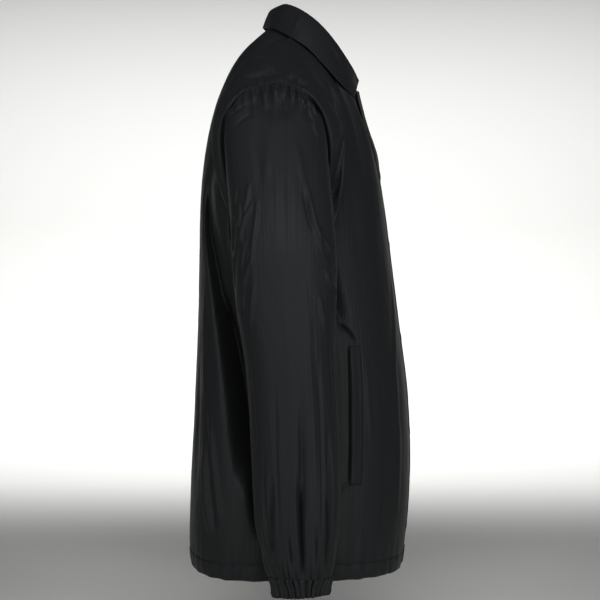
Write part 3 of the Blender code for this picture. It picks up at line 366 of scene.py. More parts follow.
sleeve = {
    "height": (-0.7045, -0.691, -0.672, -0.647, -0.609, -0.547, -0.484, -0.421, -0.359, -0.31),
    "out": (0.267, 0.267, 0.267, 0.266, 0.265, 0.263, 0.261, 0.26, 0.258, 0.257),
    "fore": (-0.001, 0.0008, 0.0015, 0.0028, 0.0035, 0.0055, 0.0085, 0.013, 0.0175, 0.0195),
    "halfOut": (0.035, 0.041, 0.045, 0.0485, 0.051, 0.0525, 0.0535, 0.0545, 0.0555, 0.056),
    "halfFore": (0.036, 0.0418, 0.0465, 0.0518, 0.0545, 0.0555, 0.056, 0.058, 0.0635, 0.066),
    "head": 0.29, "length": 0.6845, "round": 0.51, "lobes": 22,
    "swell": 0.00018, "fullness": 0.001, "tuck": 0.0018, "wristRuche": 0.003,
    "columns": ((0.0, 0.24, 22), (0.24, 0.41, 64), (0.41, 0.6, 120), (0.6, 0.74, 52), (0.74, 1.0, 24)),
    "rows": ((0.0, 0.03, 26), (0.03, 0.08, 20), (0.08, 0.16, 10),
             (0.16, 0.4, 64), (0.4, 0.64, 34), (0.64, 0.6845, 16)),
    "creases": inMetres([  # path in mm round from the underarm seam and down from the armhole
        (((340, 200), (360, 250), (375, 290)), 3, 9, 0.4),
        (((335, 250), (360, 300), (385, 350)), 3, 10, 0.4),
        (((150, 160), (128, 240), (115, 310)), 3, 10, 0.4),
        (((85, 270), (110, 330), (135, 370)), 6, 11, 0.4),
        (((240, 420), (243, 550), (250, 680)), 6.4, 7, 0.45),
        (((190, 480), (185, 580), (186, 680)), 6.4, 6, 0.45),
        (((300, 540), (312, 620), (332, 680)), 8, 6, 0.45),
        (((400, 520), (400, 600), (402, 670)), 6, 8, 0.45),
        (((60, 520), (62, 600), (61, 670)), 6, 8, 0.45),
        (((212, 10), (201, 23), (208, 58), (196, 72)), -2, 4.4, 0.25),
        (((222, 165), (212, 214), (201, 246), (184, 280)), -4.5, 3.6, 0.3),
        (((228, 178), (216.5, 222), (206, 248)), 3.5, 3.4, 0.35),
        (((204, 226), (184, 261), (142, 299)), -3.8, 3.8, 0.35),
        (((198, 246), (178, 276), (146, 312)), 3.5, 3.8, 0.35),
        (((188, 299), (169, 318), (140, 335)), -3.2, 3.4, 0.35),
        (((199, 330), (191, 356), (182, 382)), -2.2, 3.6, 0.35),
        (((299, 166), (308, 196), (323, 222)), -2.6, 3, 0.35),
        (((290, 190), (294, 220), (300, 246), (306, 280), (307, 318)), -2.9, 3.4, 0.3),
        (((293, 198), (314, 221), (327, 243), (333, 268)), -2.9, 3, 0.35),
        (((318, 196), (326, 216), (330, 236)), 2.6, 3, 0.35),
        (((310, 256), (321, 280), (331, 304)), 3.2, 3.2, 0.35),
        (((305, 262), (320, 281), (336, 301)), -2.2, 2.8, 0.35),
        (((303, 282), (318, 306), (334, 332)), -2.9, 3.4, 0.35),
        (((310, 296), (324, 326), (343, 364)), 2.6, 3.4, 0.35),
        (((303, 312), (313, 344), (327, 378)), -2.6, 3.6, 0.35),
        (((348, 206), (340, 220), (331, 234)), -2.2, 3, 0.35),
        (((322, 170), (330, 182), (338, 196)), 2.2, 3, 0.35),
        (((263, 30), (263, 155), (266, 265)), -0.6, 3, 0.15),
        (((256, 290), (257, 400), (268, 540)), -0.8, 8, 0.4),
        (((222, 300), (220, 440), (222, 600)), -1.6, 6, 0.35),
        (((205, 400), (204, 500), (208, 660)), 1.6, 4, 0.35),
        (((284, 420), (292, 540), (290, 660)), 1.6, 5, 0.35),
        (((344, 440), (342, 560), (352, 670)), 1.9, 6, 0.35),
        (((165, 360), (163, 480), (168, 620)), -1.6, 6, 0.35),
        (((250.5, 6), (251.5, 45), (256, 82)), 6.4, 9.5, 0.45),
        (((280, 18), (274, 46), (262, 80)), 4.4, 6.5, 0.45),
        (((284, 36), (304, 31), (326, 20)), 1.6, 2.6, 0.4),
        (((296, 47), (311, 41), (330, 36)), -1.2, 3, 0.45),
        (((280, 62), (298, 58), (318, 66)), 1.5, 4.2, 0.45),
        (((264.2, 60), (270.3, 129), (279.5, 190)), -1.2, 5, 0.35),
        (((286, 85), (284, 141), (283.6, 205)), 1.6, 6, 0.4),
        (((238, 105), (232.6, 139), (224, 186)), -1.6, 5, 0.4),
        (((250, 130), (248, 230), (246, 340)), 1.2, 5, 0.35),
        (((252, 545), (248, 620), (246, 692)), 9.5, 5.2, 0.32),
        (((192, 570), (187, 623), (178, 690)), 9.5, 4.8, 0.32),
        (((310, 630), (316, 656), (322, 678)), 4.5, 3.4, 0.4),
        (((274.5, 622), (273, 650), (272, 677)), 3.5, 3, 0.4),
        (((323.3, 545), (322.3, 609), (321, 664)), 4, 4, 0.35),
        (((218, 610), (215, 645), (212, 677)), 3, 3, 0.4),
        (((232, 8), (216, 18), (203, 30)), 4.2, 3.5, 0.35),
        (((236, 16), (222, 34), (212, 56)), 3.8, 4, 0.35),
        (((450, 160), (455, 300), (440, 420)), 2, 12, 0.4),
        (((30, 180), (45, 260), (70, 330)), 2, 10, 0.4),
    ]),
    "headPleats": [  # turn, length down the sleeve, depth, half width at the seam
        (0.396, 0.05, 0.003, 0.004), (0.42, 0.03, 0.003, 0.003), (0.437, 0.06, 0.006, 0.003),
        (0.451, 0.026, 0.006, 0.0019), (0.464, 0.052, 0.0084, 0.0024), (0.4745, 0.02, 0.0056, 0.0017),
        (0.484, 0.044, 0.0094, 0.0023), (0.495, 0.02, 0.0066, 0.0017), (0.504, 0.034, 0.0084, 0.0019),
        (0.512, 0.018, 0.0064, 0.0016), (0.52, 0.062, 0.0104, 0.0024), (0.531, 0.022, 0.0066, 0.0017),
        (0.54, 0.05, 0.0092, 0.0023), (0.55, 0.024, 0.0058, 0.0019),
        (0.563, 0.064, 0.0064, 0.003), (0.584, 0.038, 0.0034, 0.0034), (0.615, 0.048, 0.0028, 0.0044),
    ],
    "headHollows": [  # turn, middle down the sleeve, depth, half width, half length
        (0.478, 0.03, 0.003, 0.01, 0.022), (0.536, 0.024, 0.0026, 0.008, 0.016),
    ],
}


# seam line of the armhole: the side edges of the front, then of the back
def armholePoint(turn):
    share = np.where(turn <= 0.5, 2 * turn, 2 - 2 * turn)
    height, edge = underarm + upperLength * share, np.ones_like(turn)
    onFront = (turn <= 0.5)[..., None]
    return np.where(onFront, panelBase(frontFace, edge, height), panelBase(backFace, edge, height))


# level oval of the sleeve
def sleeveSection(turn, height):
    out, fore, halfOut, halfFore = [curveThrough(sleeve["height"], sleeve[k], height)
                                    for k in ("out", "fore", "halfOut", "halfFore")]
    angle = 2 * math.pi * turn
    return xyz(out - halfOut * np.cos(angle), fore - halfFore * np.sin(angle), height)


# plain sleeve: cubics from the armhole to the first level oval, then ovals down to the cuff
def sleeveBase(turn, down):
    turn = turn % 1.0
    first = sleeve["height"][-1]
    start, end = armholePoint(turn), sleeveSection(turn, np.full_like(turn, first))
    reach = np.linalg.norm(end - start, axis=-1)
    upward = (1 - np.cos(2 * math.pi * turn)) / 2
    leave = unit(xyz(mix(0.8, 0.42, upward), 0, mix(-0.25, -0.91, upward))) * (reach * 0.75)[..., None]
    arrive = xyz(0, 0, -1.0) * (reach * 1.05)[..., None]
    head = hermite(start, leave, end, arrive, np.clip(down / sleeve["head"], 0, 1)[..., None])
    below = sleeveSection(turn, np.minimum(first - (down - sleeve["head"]), first))
    return np.where((down <= sleeve["head"])[..., None], head, below)


# gathers of the elastic: rounded lobes with a sharp groove between them, uneven in width and height
def ruches(turn, rise, lobes):
    angle = 2 * math.pi * turn
    lobe = np.abs(np.sin(lobes / 2 * angle + 0.9 * np.sin(5 * angle + 1) + 0.6 * np.sin(9 * angle)))
    return rise * (0.75 + 0.25 * np.sin(7 * angle + 2)) * (1 - (1 - lobe) ** 2)


# sleeve with its folds: relief along the normals of the plain sleeve
def sleevePoints(creases, turn, down, start):
    around = (turn % 1.0) * sleeve["round"]
    offSeam = ease((0.5 - abs(turn - 0.5)) / 0.08)
    relief = creaseRelief(creases, around, down) + swells(around, down, sleeve["swell"], start) * offSeam
    atHead = ease((turn - 0.4) / 0.05) * (1 - ease((turn - 0.57) / 0.05))
    relief += sleeve["fullness"] * atHead * np.exp(-(((down - 0.02) / 0.014) ** 2))  # taken in by the pleats
    for at, length, depth, halfWidth in sleeve["headPleats"]:
        spent = np.clip(down / length, 0, 1)
        wide = halfWidth * (1 + 0.4 * spent)
        relief -= depth * np.exp(-(((around - at * sleeve["round"]) / wide) ** 2)) * (1 - spent ** 1.3)
    for at, middle, depth, halfWidth, halfLength in sleeve["headHollows"]:
        away = ((around - at * sleeve["round"]) / halfWidth) ** 2 + ((down - middle) / halfLength) ** 2
        relief -= depth * np.exp(-away)
    relief *= ease(down / 0.0025) * ease((sleeve["length"] - down) / 0.01)
    onTop = ease((0.32 - abs(turn % 1.0 - 0.5)) / 0.08)
    relief -= sleeve["tuck"] * (1 - ease(down / 0.004)) * onTop  # upper edge tucked under the panels
    atWrist = ease((down - sleeve["length"] + 0.04) / 0.034)
    relief += ruches(turn, sleeve["wristRuche"], sleeve["lobes"]) * atWrist
    folded = sleeveBase(turn, down) - relief[..., None] * normalsOf(sleeveBase, turn, down, lowB=0)
    return folded + seamSink(turn % 1.0, down, "sleeve")


cuff = {
    "lobes": 32, "lean": 0.045, "rise": 0.0056, "height": 0.022, "tilt": 0.05,
    "draw": 0.0015, "edgeDraw": 0.0012, "insideDraw": 0.001,
    "inside": 0.16,  # share of the height that is tucked up into the sleeve
    "columns": 400, "rows": 16, "wall": 0.001,
    "pleats": [  # turn, depth, half width in turns
        (0.045, 0.004, 0.008), (0.12, 0.005, 0.007), (0.205, 0.0036, 0.009), (0.318, 0.006, 0.009),
        (0.352, 0.0066, 0.008), (0.386, 0.0046, 0.006), (0.436, 0.004, 0.006), (0.472, 0.0052, 0.007),
        (0.545, 0.0042, 0.006), (0.59, 0.005, 0.008), (0.652, 0.0054, 0.008), (0.735, 0.004, 0.007),
        (0.82, 0.0048, 0.008), (0.905, 0.004, 0.007),
    ],
}


# ruched band below the wrist, lower at the back, drawn in at its edge, its top tucked up inside the sleeve
def cuffPoints(turn, share):
    angle = 2 * math.pi * turn
    full = 0.88 + 0.12 * np.cos(2 * math.pi * share) - 0.15 * share
    leaning = turn - cuff["lean"] * (np.sin(angle) + 0.3 * np.sin(3 * angle + 1)) * share
    spread = ruches(leaning, cuff["rise"], cuff["lobes"]) * full - cuff["draw"] * share
    for at, depth, halfWidth in cuff["pleats"]:
        spread -= depth * full * np.exp(-(((leaning - at) / halfWidth) ** 2))
    spread -= cuff["edgeDraw"] * ease((share - 0.85) / 0.15)
    spread *= ease((share + cuff["inside"]) / cuff["inside"])
    spread -= cuff["insideDraw"] * ease(-share / 0.1)
    x = sleeve["out"][0] - (sleeve["halfOut"][0] + spread) * np.cos(angle)
    y = sleeve["fore"][0] - (sleeve["halfFore"][0] + spread) * np.sin(angle)
    z = sleeve["height"][0] - (cuff["height"] + cuff["tilt"] * (y - sleeve["fore"][0])) * share
    return xyz(x, y, z)


collar = {
    "turn": (2, 30, 60, 88, 113, 143, 180),
    "foldX": (0.006, 0.03, 0.06, 0.068, 0.062, 0.038, 0.0),
    "foldY": (-0.0812, -0.071, -0.046, -0.024, -0.004, 0.017, 0.0328),
    "foldZ": (-0.0545, -0.038, -0.0054, 0.0178, 0.0335, 0.046, 0.0475),
    "edgeX": (0.0735, 0.0925, 0.095, 0.096, 0.09, 0.054, 0.0),
    "edgeY": (-0.073, -0.0562, -0.0301, -0.0086, 0.0096, 0.0368, 0.0515),
    "edgeZ": (-0.0852, -0.0696, -0.0415, -0.0198, -0.0072, 0.0112, 0.019),
    "roll": 0.0036, "belly": 0.002, "end": 0.035, "columns": 80, "rows": 64, "wall": 0.0014,
    "knots": (0.0, 0.2, 0.4, 0.46, 0.52, 0.76, 1.0),
    "creases": [  # path in turn and share of the way from the neck seam, depth in metres, half width, fade
        (((1.95, 0.5), (1.98, 0.7), (2.02, 0.9)), -0.0016, 0.05, 0.35),
        (((1.02, 0.66), (0.8, 0.72), (0.6, 0.76)), 0.0022, 0.05, 0.4),
        (((1.2, 0.58), (0.95, 0.6), (0.7, 0.64)), -0.0014, 0.04, 0.4),
        (((2.6, 0.6), (2.7, 0.8), (2.65, 0.95)), 0.0012, 0.07, 0.4),
    ],
}


# stand, fold and fall: a cubic through the foot, the roll at the fold and the free edge
def collarPoints(turn, share):
    turns = np.radians(collar["turn"])
    fold = xyz(*[curveThrough(turns, collar["fold" + k], turn) for k in "XYZ"])
    edge = xyz(*[curveThrough(turns, collar["edge" + k], turn) for k in "XYZ"])
    foot = neckPoint(turn)
    up = unit(fold - foot)
    fall = edge - fold
    out = unit(fall - np.sum(fall * up, axis=-1, keepdims=True) * up)
    standTop = fold - (up + out) * collar["roll"]
    fallTop = fold - (up - out) * collar["roll"]
    belly = mix(fallTop, edge, 0.5) + (out + up) * collar["belly"]
    path = np.stack([foot, mix(foot, standTop, 0.5), standTop, fold, fallTop, belly, edge])
    return curveThrough(collar["knots"], path, share)


# grid of points made into a mesh of quads with its cut laid out in metres as UV
def gridPiece(name, points, flat, ring=False, flip=False, thickness=cloth):
    rows, columns = points.shape[:2]
    index = np.arange(rows * columns).reshape(rows, columns)
    lay = index
    if ring:
        lay = np.arange(rows * (columns + 1)).reshape(rows, columns + 1)
        index = np.concatenate([index, index[:, :1]], axis=1)
    corners = [[slice(0, -1), slice(0, -1)], [slice(0, -1), slice(1, None)],
               [slice(1, None), slice(1, None)], [slice(1, None), slice(0, -1)]]
    if flip:
        corners = corners[::-1]
    quads = np.stack([index[tuple(c)] for c in corners], axis=-1).reshape(-1)
    layQuads = np.stack([lay[tuple(c)] for c in corners], axis=-1).reshape(-1)
    mesh = bpy.data.meshes.new(name)
    mesh.vertices.add(rows * columns)
    mesh.vertices.foreach_set("co", points.astype(np.float32).ravel())
    mesh.loops.add(len(quads))
    mesh.loops.foreach_set("vertex_index", quads.astype(np.int32))
    mesh.polygons.add(len(quads) // 4)
    mesh.polygons.foreach_set("loop_start", np.arange(0, len(quads), 4, dtype=np.int32))
    mesh.polygons.foreach_set("use_smooth", np.ones(len(quads) // 4, bool))
    mesh.update(calc_edges=True)
    across, along = np.meshgrid(np.linspace(0, flat[0], lay.shape[1]), np.linspace(0, flat[1], rows))
    uv = np.stack([across, along], axis=-1).reshape(-1, 2)
    mesh.uv_layers.new(name="cut").data.foreach_set("uv", uv[layQuads].astype(np.float32).ravel())
    piece = bpy.data.objects.new(name, mesh)
    bpy.context.scene.collection.objects.link(piece)
    wall = piece.modifiers.new("wall", "SOLIDIFY")
    wall.thickness, wall.offset = thickness, 0
    return piece


# sRGB hex to the linear colour that shaders take
def linear(hexColour):
    parts = [int(hexColour[i:i + 2], 16) / 255 for i in (1, 3, 5)]
    return tuple(c / 12.92 if c <= 0.04045 else ((c + 0.055) / 1.055) ** 2.4 for c in parts) + (1,)


# one node with its settings and the sockets that feed it
def addNode(tree, kind, settings=None, links=None):
    node = tree.nodes.new(kind)
    for key, value in (settings or {}).items():
        if key in node.inputs:
            node.inputs[key].default_value = value
        else:
            setattr(node, key, value)
    for key, socket in (links or {}).items():
        tree.links.new(socket, node.inputs[key])
    return node


# plain-woven black nylon: nearly black in itself, with a satin sheen that picks out every fold
def makeNylon():
    made = bpy.data.materials.new("black shell nylon, plain woven")
    made.use_nodes = True
    tree = made.node_tree
    tree.nodes.clear()
    uv = addNode(tree, "ShaderNodeTexCoord").outputs["UV"]
    # slubs along the warp, about 4 mm wide and ten times as long
    spun = addNode(tree, "ShaderNodeMapping", {"Scale": (260.0, 26.0, 1.0)}, {"Vector": uv})
    slubs = addNode(tree, "ShaderNodeTexNoise", {"Scale": 1.0, "Detail": 3.0}, {"Vector": spun.outputs[0]})
    # threads of 0.2 mm are finer than a pixel, so they are drawn 0.8 mm apart
    weft = addNode(tree, "ShaderNodeTexWave", {"bands_direction": "Y", "Scale": 390.0}, {"Vector": uv})
    # slack between the warp threads: soft streaks about 8 mm apart that run down the cloth
    drawnOut = addNode(tree, "ShaderNodeMapping", {"Scale": (125.0, 7.0, 1.0)}, {"Vector": uv})
    slack = addNode(tree, "ShaderNodeTexNoise", {"Scale": 1.0, "Detail": 2.0},
                    {"Vector": drawnOut.outputs[0]})
    soft = addNode(tree, "ShaderNodeBump", {"Strength": 0.42, "Distance": 0.0022},
                   {"Height": slack.outputs[0]})
    bump = addNode(tree, "ShaderNodeBump", {"Strength": 0.25, "Distance": 0.0006},
                   {"Height": slubs.outputs[0], "Normal": soft.outputs[0]})
    weave = addNode(tree, "ShaderNodeBump", {"Strength": 0.12, "Distance": 0.0002},
                    {"Height": weft.outputs[0], "Normal": bump.outputs[0]})
    shader = addNode(tree, "ShaderNodeBsdfPrincipled", {
        "Base Color": linear("#1a1b1c"), "Roughness": 0.52, "IOR": 1.45, "Specular IOR Level": 0.08,
        "Sheen Weight": 0.015, "Sheen Roughness": 0.35, "Sheen Tint": linear("#d8dcdc")},
        {"Normal": weave.outputs[0]})
    addNode(tree, "ShaderNodeOutputMaterial", None, {"Surface": shader.outputs[0]})
    return made


# plain material: one shader with its colour and the inputs that differ from the default
def makePlain(name, hexColour, inputs):
    made = bpy.data.materials.new(name)
    made.use_nodes = True
    shader = made.node_tree.nodes["Principled BSDF"]
    shader.inputs["Base Color"].default_value = linear(hexColour)
    for key, value in inputs.items():
        shader.inputs[key].default_value = value
    return made


nylon = makeNylon()
# pressed cap in black enamel: a small hard highlight
enamel = makePlain("black enamel on pressed metal", "#141415", {"Roughness": 0.28, "Coat Weight": 0.5})
# spun polyester thread: matt and as black as the cloth
thread = makePlain("black polyester thread, spun", "#1b1c1d", {"Roughness": 0.85, "Specular IOR Level": 0.1})
# floor paint: pale and without a gloss, so that the outline stands out
paint = makePlain("pale matt studio paint", "#d9d9d7", {"Roughness": 0.9})

cuts = {  # flat width and length of what shows of each cut, how it is held and what it is sewn to
    "back": ((0.6, 0.74), "hung", ["collarShell"]),
    "front_right": ((0.31, 0.72), "hung", ["backShell"]),
    "front_left": ((0.31, 0.72), "hung", ["backShell"]),
    "sleeve_right": ((0.36, 0.66), "gathered", ["backShell", "frontRightShell"]),
    "sleeve_left": ((0.36, 0.66), "gathered", ["backShell", "frontLeftShell"]),
    "cuff_right": ((0.4, 0.024), "gathered", ["sleeveRightShell"]),
    "cuff_left": ((0.4, 0.024), "gathered", ["sleeveLeftShell"]),
    "hem_back": ((0.56, 0.022), "hung", ["backShell"]),
    "hem_front_right": ((0.31, 0.022), "hung", ["frontRightShell"]),
    "hem_front_left": ((0.31, 0.022), "hung", ["frontLeftShell"]),
    "collar": ((0.42, 0.09), "folded", ["backShell"]),
    "pocket_welt_right": ((0.019, 0.179), "stretched", ["frontRightShell"]),
    "pocket_welt_left": ((0.019, 0.179), "stretched", ["frontLeftShell"]),
}


# hands a finished piece to the frame in place of its solid
def dress(piece, node, material):
    piece.data.materials.append(material)
    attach(piece, "root")
    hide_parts(node)


# shell of one cut: its grid with the flat size of the cut, in nylon
def sew(name, node, points, ring=False, flip=False, wall=cloth):
    dress(gridPiece(name, points, cuts[node][0], ring, flip, wall), node, nylon)


# stops of a grid: runs that each have their own number of steps
def stops(*runs):
    return np.concatenate([np.linspace(a, b, n, endpoint=False) for a, b, n in runs] + [[runs[-1][1]]])


# points of the wearer's left, mirrored for the right
def onSide(points, side):
    return points * np.array([side, 1, 1])


# outward direction of a body piece: level, away from the upright line through the body's middle
def levelOut(points):
    return unit((points - xyz(0, body["side"][0], 0)) * np.array([1, 1, 0]))


sides = (("right", -1), ("left", 1))  # at the lap the right front moves in and the left front out
frontStart, sleeveStart = {-1: -0.6, 1: 1.4}, {-1: 0.1, 1: 2.1}  # where the swells of each side begin
panelRows = stops((hem + 0.011, hem + casing, 4), (hem + casing, -0.6, 18), (-0.6, -0.425, 30),
                  (-0.425, -0.375, 30), (-0.375, -0.2, 32), (-0.2, -0.045, 50), (-0.045, top, 44))
mouthCreases = [(frontPiece["slit"], 0.017, 0.0012, 0.1), (frontPiece["weltSeam"], 0.0026, 0.0013, 0.05)]
frontCreases = {
    "right": frontPiece["creases"] + mouthCreases,
    "left": otherSide(frontPiece["creases"], 0.004, -0.012, 0.85) + mouthCreases,
}
u, height = np.meshgrid(stops(*frontPiece["columns"]), panelRows)
for word, side in sides:
    points = panelPoints(frontFace, frontCreases[word], u, height, side, frontStart[side])
    sew("front" + word.title() + "Shell", "front_" + word, onSide(points, side), flip=side < 0)
print("fronts made")

u, height = np.meshgrid(stops(*backPiece["columns"]), panelRows)
leftCreases = otherSide(backPiece["creases"], 0.003, -0.01, 0.9)
leftHalf = panelPoints(backFace, leftCreases, u, height)
rightHalf = panelPoints(backFace, backPiece["creases"], u, height)
blend = 12  # columns beside the centre line in which the two halves become one
leftHalf[:, :blend] = mix(rightHalf[:, :blend], leftHalf[:, :blend], np.linspace(0, 1, blend)[:, None])
points = np.concatenate([onSide(rightHalf[:, :0:-1], -1), leftHalf], axis=1)
sew("backShell", "back", points, flip=True)
print("back made")

turn, down = np.meshgrid(stops(*sleeve["columns"])[:-1], stops(*sleeve["rows"]))
around, share = np.meshgrid(np.arange(cuff["columns"]) / cuff["columns"],
                            np.linspace(-cuff["inside"], 1, cuff["rows"]))
sleeveCreases = {"right": sleeve["creases"], "left": otherSide(sleeve["creases"], 0.006, 0.01, 0.9)}
for word, side in sides:
    points = onSide(sleevePoints(sleeveCreases[word], turn, down, sleeveStart[side]), side)
    sew("sleeve" + word.title() + "Shell", "sleeve_" + word, points, ring=True, flip=side > 0)
    points = onSide(cuffPoints(around, share), side)
    sew("cuff" + word.title() + "Band", "cuff_" + word, points, ring=True, flip=side > 0, wall=cuff["wall"])
print("sleeves and cuffs made")

turns, shares = np.linspace(collar["end"], math.pi, collar["columns"]), np.linspace(0, 1, collar["rows"])
halfTurn, share = np.meshgrid(turns, shares)
flatPoints = collarPoints(turns, shares)
normal = unit(np.cross(np.gradient(flatPoints, axis=0), np.gradient(flatPoints, axis=1)))
leftCreases = otherSide(collar["creases"], 0.08, 0.02, 0.8)
leftHalf = flatPoints + creaseRelief(leftCreases, halfTurn, share)[..., None] * normal
rightHalf = onSide(flatPoints + creaseRelief(collar["creases"], halfTurn, share)[..., None] * normal, -1)
leftHalf[:, -1, 0] = 0
points = np.concatenate([leftHalf, rightHalf[:, -2::-1]], axis=1)
sew("collarShell", "collar", points, flip=True, wall=collar["wall"])
print("collar made")

hemBand = {
    "proud": 0.0002, "belly": 0.0006, "pucker": 0.0003, "wave": 0.0004,
    "lapSpread": 2.2,  # the casings are thicker at the lap than the fronts
    "frontColumns": 150, "backColumns": 125, "rows": 12, "wall": 0.001,
}


# hem casing: the panel run on down, fuller at its middle, with puckers and a softly waved edge
def hemPoints(face, u, height, lapSide, start):
    across = (1 - u) * face["width"]
    share = (height - hem) / casing
    points = panelPoints(face, [], u, height, lapSide * hemBand["lapSpread"], start, 0)
    out = hemBand["proud"] + hemBand["belly"] * np.sin(math.pi * share)
    out += hemPuckers(across + start, hemBand["pucker"])
    points += levelOut(points) * out[..., None]
    points[..., 2] += hemBand["wave"] * np.sin(across * 140 + 3 * start) * (1 - share)
    return points


casingRows = np.linspace(hem, hem + casing, hemBand["rows"])
u, height = np.meshgrid(np.linspace(0, 1, hemBand["frontColumns"]), casingRows)
for word, side in sides:
    points = onSide(hemPoints(frontFace, u, height, side, frontStart[side]), side)
    name = "hemFront" + word.title() + "Casing"
    sew(name, "hem_front_" + word, points, flip=side < 0, wall=hemBand["wall"])
u, height = np.meshgrid(np.linspace(0, 1, hemBand["backColumns"]), casingRows)
half = hemPoints(backFace, u, height, 0, 0.0)
half[:, 0, 0] = 0
points = np.concatenate([onSide(half[:, :0:-1], -1), half], axis=1)
sew("hemBackCasing", "hem_back", points, flip=True, wall=hemBand["wall"])
print("hem made")

welt = {  # pocket welts: strips on the fronts, sewn along the front edge, standing off at the mouth
    "ends": (-0.597, -0.418), "width": 0.019, "inset": 0.0012,
    "lift": 0.001, "standOff": 0.003, "wave": 0.0003, "rows": 60, "columns": 16, "wall": 0.001,
    "stitchLine": 0.0172, "stitchEnds": (-0.594, -0.421), "stitchAcross": (0.0015, 0.0185),
    "tackHeights": (-0.5925, -0.4225), "tackAcross": (0.015, 0.0188),
    "tackHalf": 0.0022, "tackLean": 0.0004, "tackStitches": 9,
}


# point of a front under its welt: the path of the mouth, straight between its corners, and a way on from it
def underWelt(side, fromMouth, height):
    across, heights = np.array(frontPiece["slit"])[::-1].T
    u = 1 - (np.interp(height, heights, across) + welt["inset"] + fromMouth) / frontFace["width"]
    height = np.broadcast_to(height, u.shape)
    return panelPoints(frontFace, frontPiece["creases"], u, height, side, frontStart[side])


weltRows = np.linspace(*welt["ends"], welt["rows"])[:, None]
weltShare = np.linspace(0, 1, welt["columns"])[None]
fromEnds = np.sin(math.pi * np.linspace(0.04, 0.96, welt["rows"]))[:, None] ** 0.5
lift = welt["lift"] + welt["standOff"] * (1 - ease(weltShare / 0.8)) * fromEnds
lift = lift + welt["wave"] * np.sin(weltRows * 190)
for word, side in sides:
    points = underWelt(side, welt["width"] * weltShare, weltRows)
    normal = unit(np.cross(np.gradient(points, axis=0), np.gradient(points, axis=1)))
    points = onSide(points + normal * lift[..., None], side)
    sew("pocketWelt" + word.title(), "pocket_welt_" + word, points, flip=side > 0, wall=welt["wall"])
print("welts made")

stitch = {
    "radius": 0.00032, "arch": 0.0003, "pitch": 0.0036,
    "gap": 0.12,  # share of the pitch that is free at each end of a stitch
    "hemInset": 0.0022, "hemEnd": 0.004, "hemProud": 0.0009, "weltProud": 0.0019,
    "edgeInset": 0.006, "edgeProud": 0.0005, "edgeTop": -0.02,
}


# row of stitches: each a square thread on a low arch, tapered to both ends
def stitchRow(starts, ends, normals):
    step = np.linspace(0, 1, 4)
    arch = np.sin(math.pi * step)
    line = mix(starts[:, None], ends[:, None], step[:, None])
    line = line + normals[:, None] * (stitch["arch"] * arch)[:, None]
    sideways = np.cross(unit(ends - starts), normals)
    angle = np.radians((45, 135, 225, 315))
    ring = np.cos(angle)[:, None] * sideways[:, None] + np.sin(angle)[:, None] * normals[:, None]
    return line[:, :, None] + (stitch["radius"] * (0.35 + 0.65 * arch))[:, None, None] * ring[:, None]


# all the rows of one kind joined in one mesh of quads, the ends closed
def stitchPiece(name, rows):
    rings = np.concatenate(rows)
    index = np.arange(rings[..., 0].size).reshape(rings.shape[:3])
    after = np.roll(index, -1, axis=2)
    walls = np.stack([index[:, :-1], index[:, 1:], after[:, 1:], after[:, :-1]], axis=-1).reshape(-1, 4)
    faces = np.concatenate([walls, index[:, 0], index[:, -1, ::-1]])
    mesh = bpy.data.meshes.new(name)
    mesh.from_pydata(rings.reshape(-1, 3).tolist(), [], faces.tolist())
    mesh.materials.append(thread)
    piece = bpy.data.objects.new(name, mesh)
    bpy.context.scene.collection.objects.link(piece)
    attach(piece, "root")


# two neighbouring points of a line on a piece for every stitch, with gaps between the stitches
def alongLine(pointsAt, low, high):
    share = np.linspace(low, high, max(int(abs(high - low) / stitch["pitch"]), 2) + 1)
    return [pointsAt(mix(share[:-1], share[1:], part)) for part in (stitch["gap"], 1 - stitch["gap"])]


# point of the hem's stitch line by its distance from the side seam, a little proud of the casing
def onCasing(face, lapSide, start, across):
    u = (1 - across / face["width"])[None]
    height = np.full_like(u, hem + casing - stitch["hemInset"])
    points = hemPoints(face, u, height, lapSide, start)[0]
    return points + levelOut(points) * stitch["hemProud"]


# point of a welt by its distance from the mouth and its height, a little proud of the cloth
def onWelt(side, fromMouth, height):
    points = underWelt(side, np.atleast_2d(fromMouth), np.atleast_2d(height))[0]
    return onSide(points + levelOut(points) * stitch["weltProud"], side)


# point of the line inside the free edge of the left front, a little in front of the cloth
def onEdge(height):
    u = np.full((1, len(height)), stitch["edgeInset"] / frontFace["width"])
    points = panelPoints(frontFace, frontCreases["left"], u, height[None], 1, frontStart[1])[0]
    return points - xyz(0, stitch["edgeProud"], 0)


hemStitches, weltStitches = [], []
for face, laps in ((frontFace, 1), (backFace, 0)):
    for word, side in sides:
        onLine = partial(onCasing, face, laps * side, laps * frontStart[side])
        line = alongLine(onLine, stitch["hemEnd"], face["width"] - stitch["hemEnd"])
        starts, ends = [onSide(points, side) for points in line]
        hemStitches.append(stitchRow(starts, ends, levelOut(starts)))
for word, side in sides:
    rows = [alongLine(partial(onWelt, side, welt["stitchLine"]), *welt["stitchEnds"])]
    for end in welt["stitchEnds"]:
        rows.append(alongLine(partial(onWelt, side, height=end), *welt["stitchAcross"]))
    # bar tack: close stitches across each front corner of the welt
    for end in welt["tackHeights"]:
        tack = end + np.linspace(-welt["tackHalf"], welt["tackHalf"], welt["tackStitches"])
        near, far = welt["tackAcross"]
        rows.append((onWelt(side, near, tack), onWelt(side, far, tack + welt["tackLean"])))
    weltStitches += [stitchRow(starts, ends, levelOut(starts)) for starts, ends in rows]
starts, ends = alongLine(onEdge, hem + casing + 0.002, stitch["edgeTop"])
forward = np.broadcast_to(np.array([0, -1.0, 0]), starts.shape)
stitchPiece("hemStitches", hemStitches)
stitchPiece("weltStitches", weltStitches)
stitchPiece("edgeStitches", [stitchRow(starts, ends, forward)])
print("stitches made")

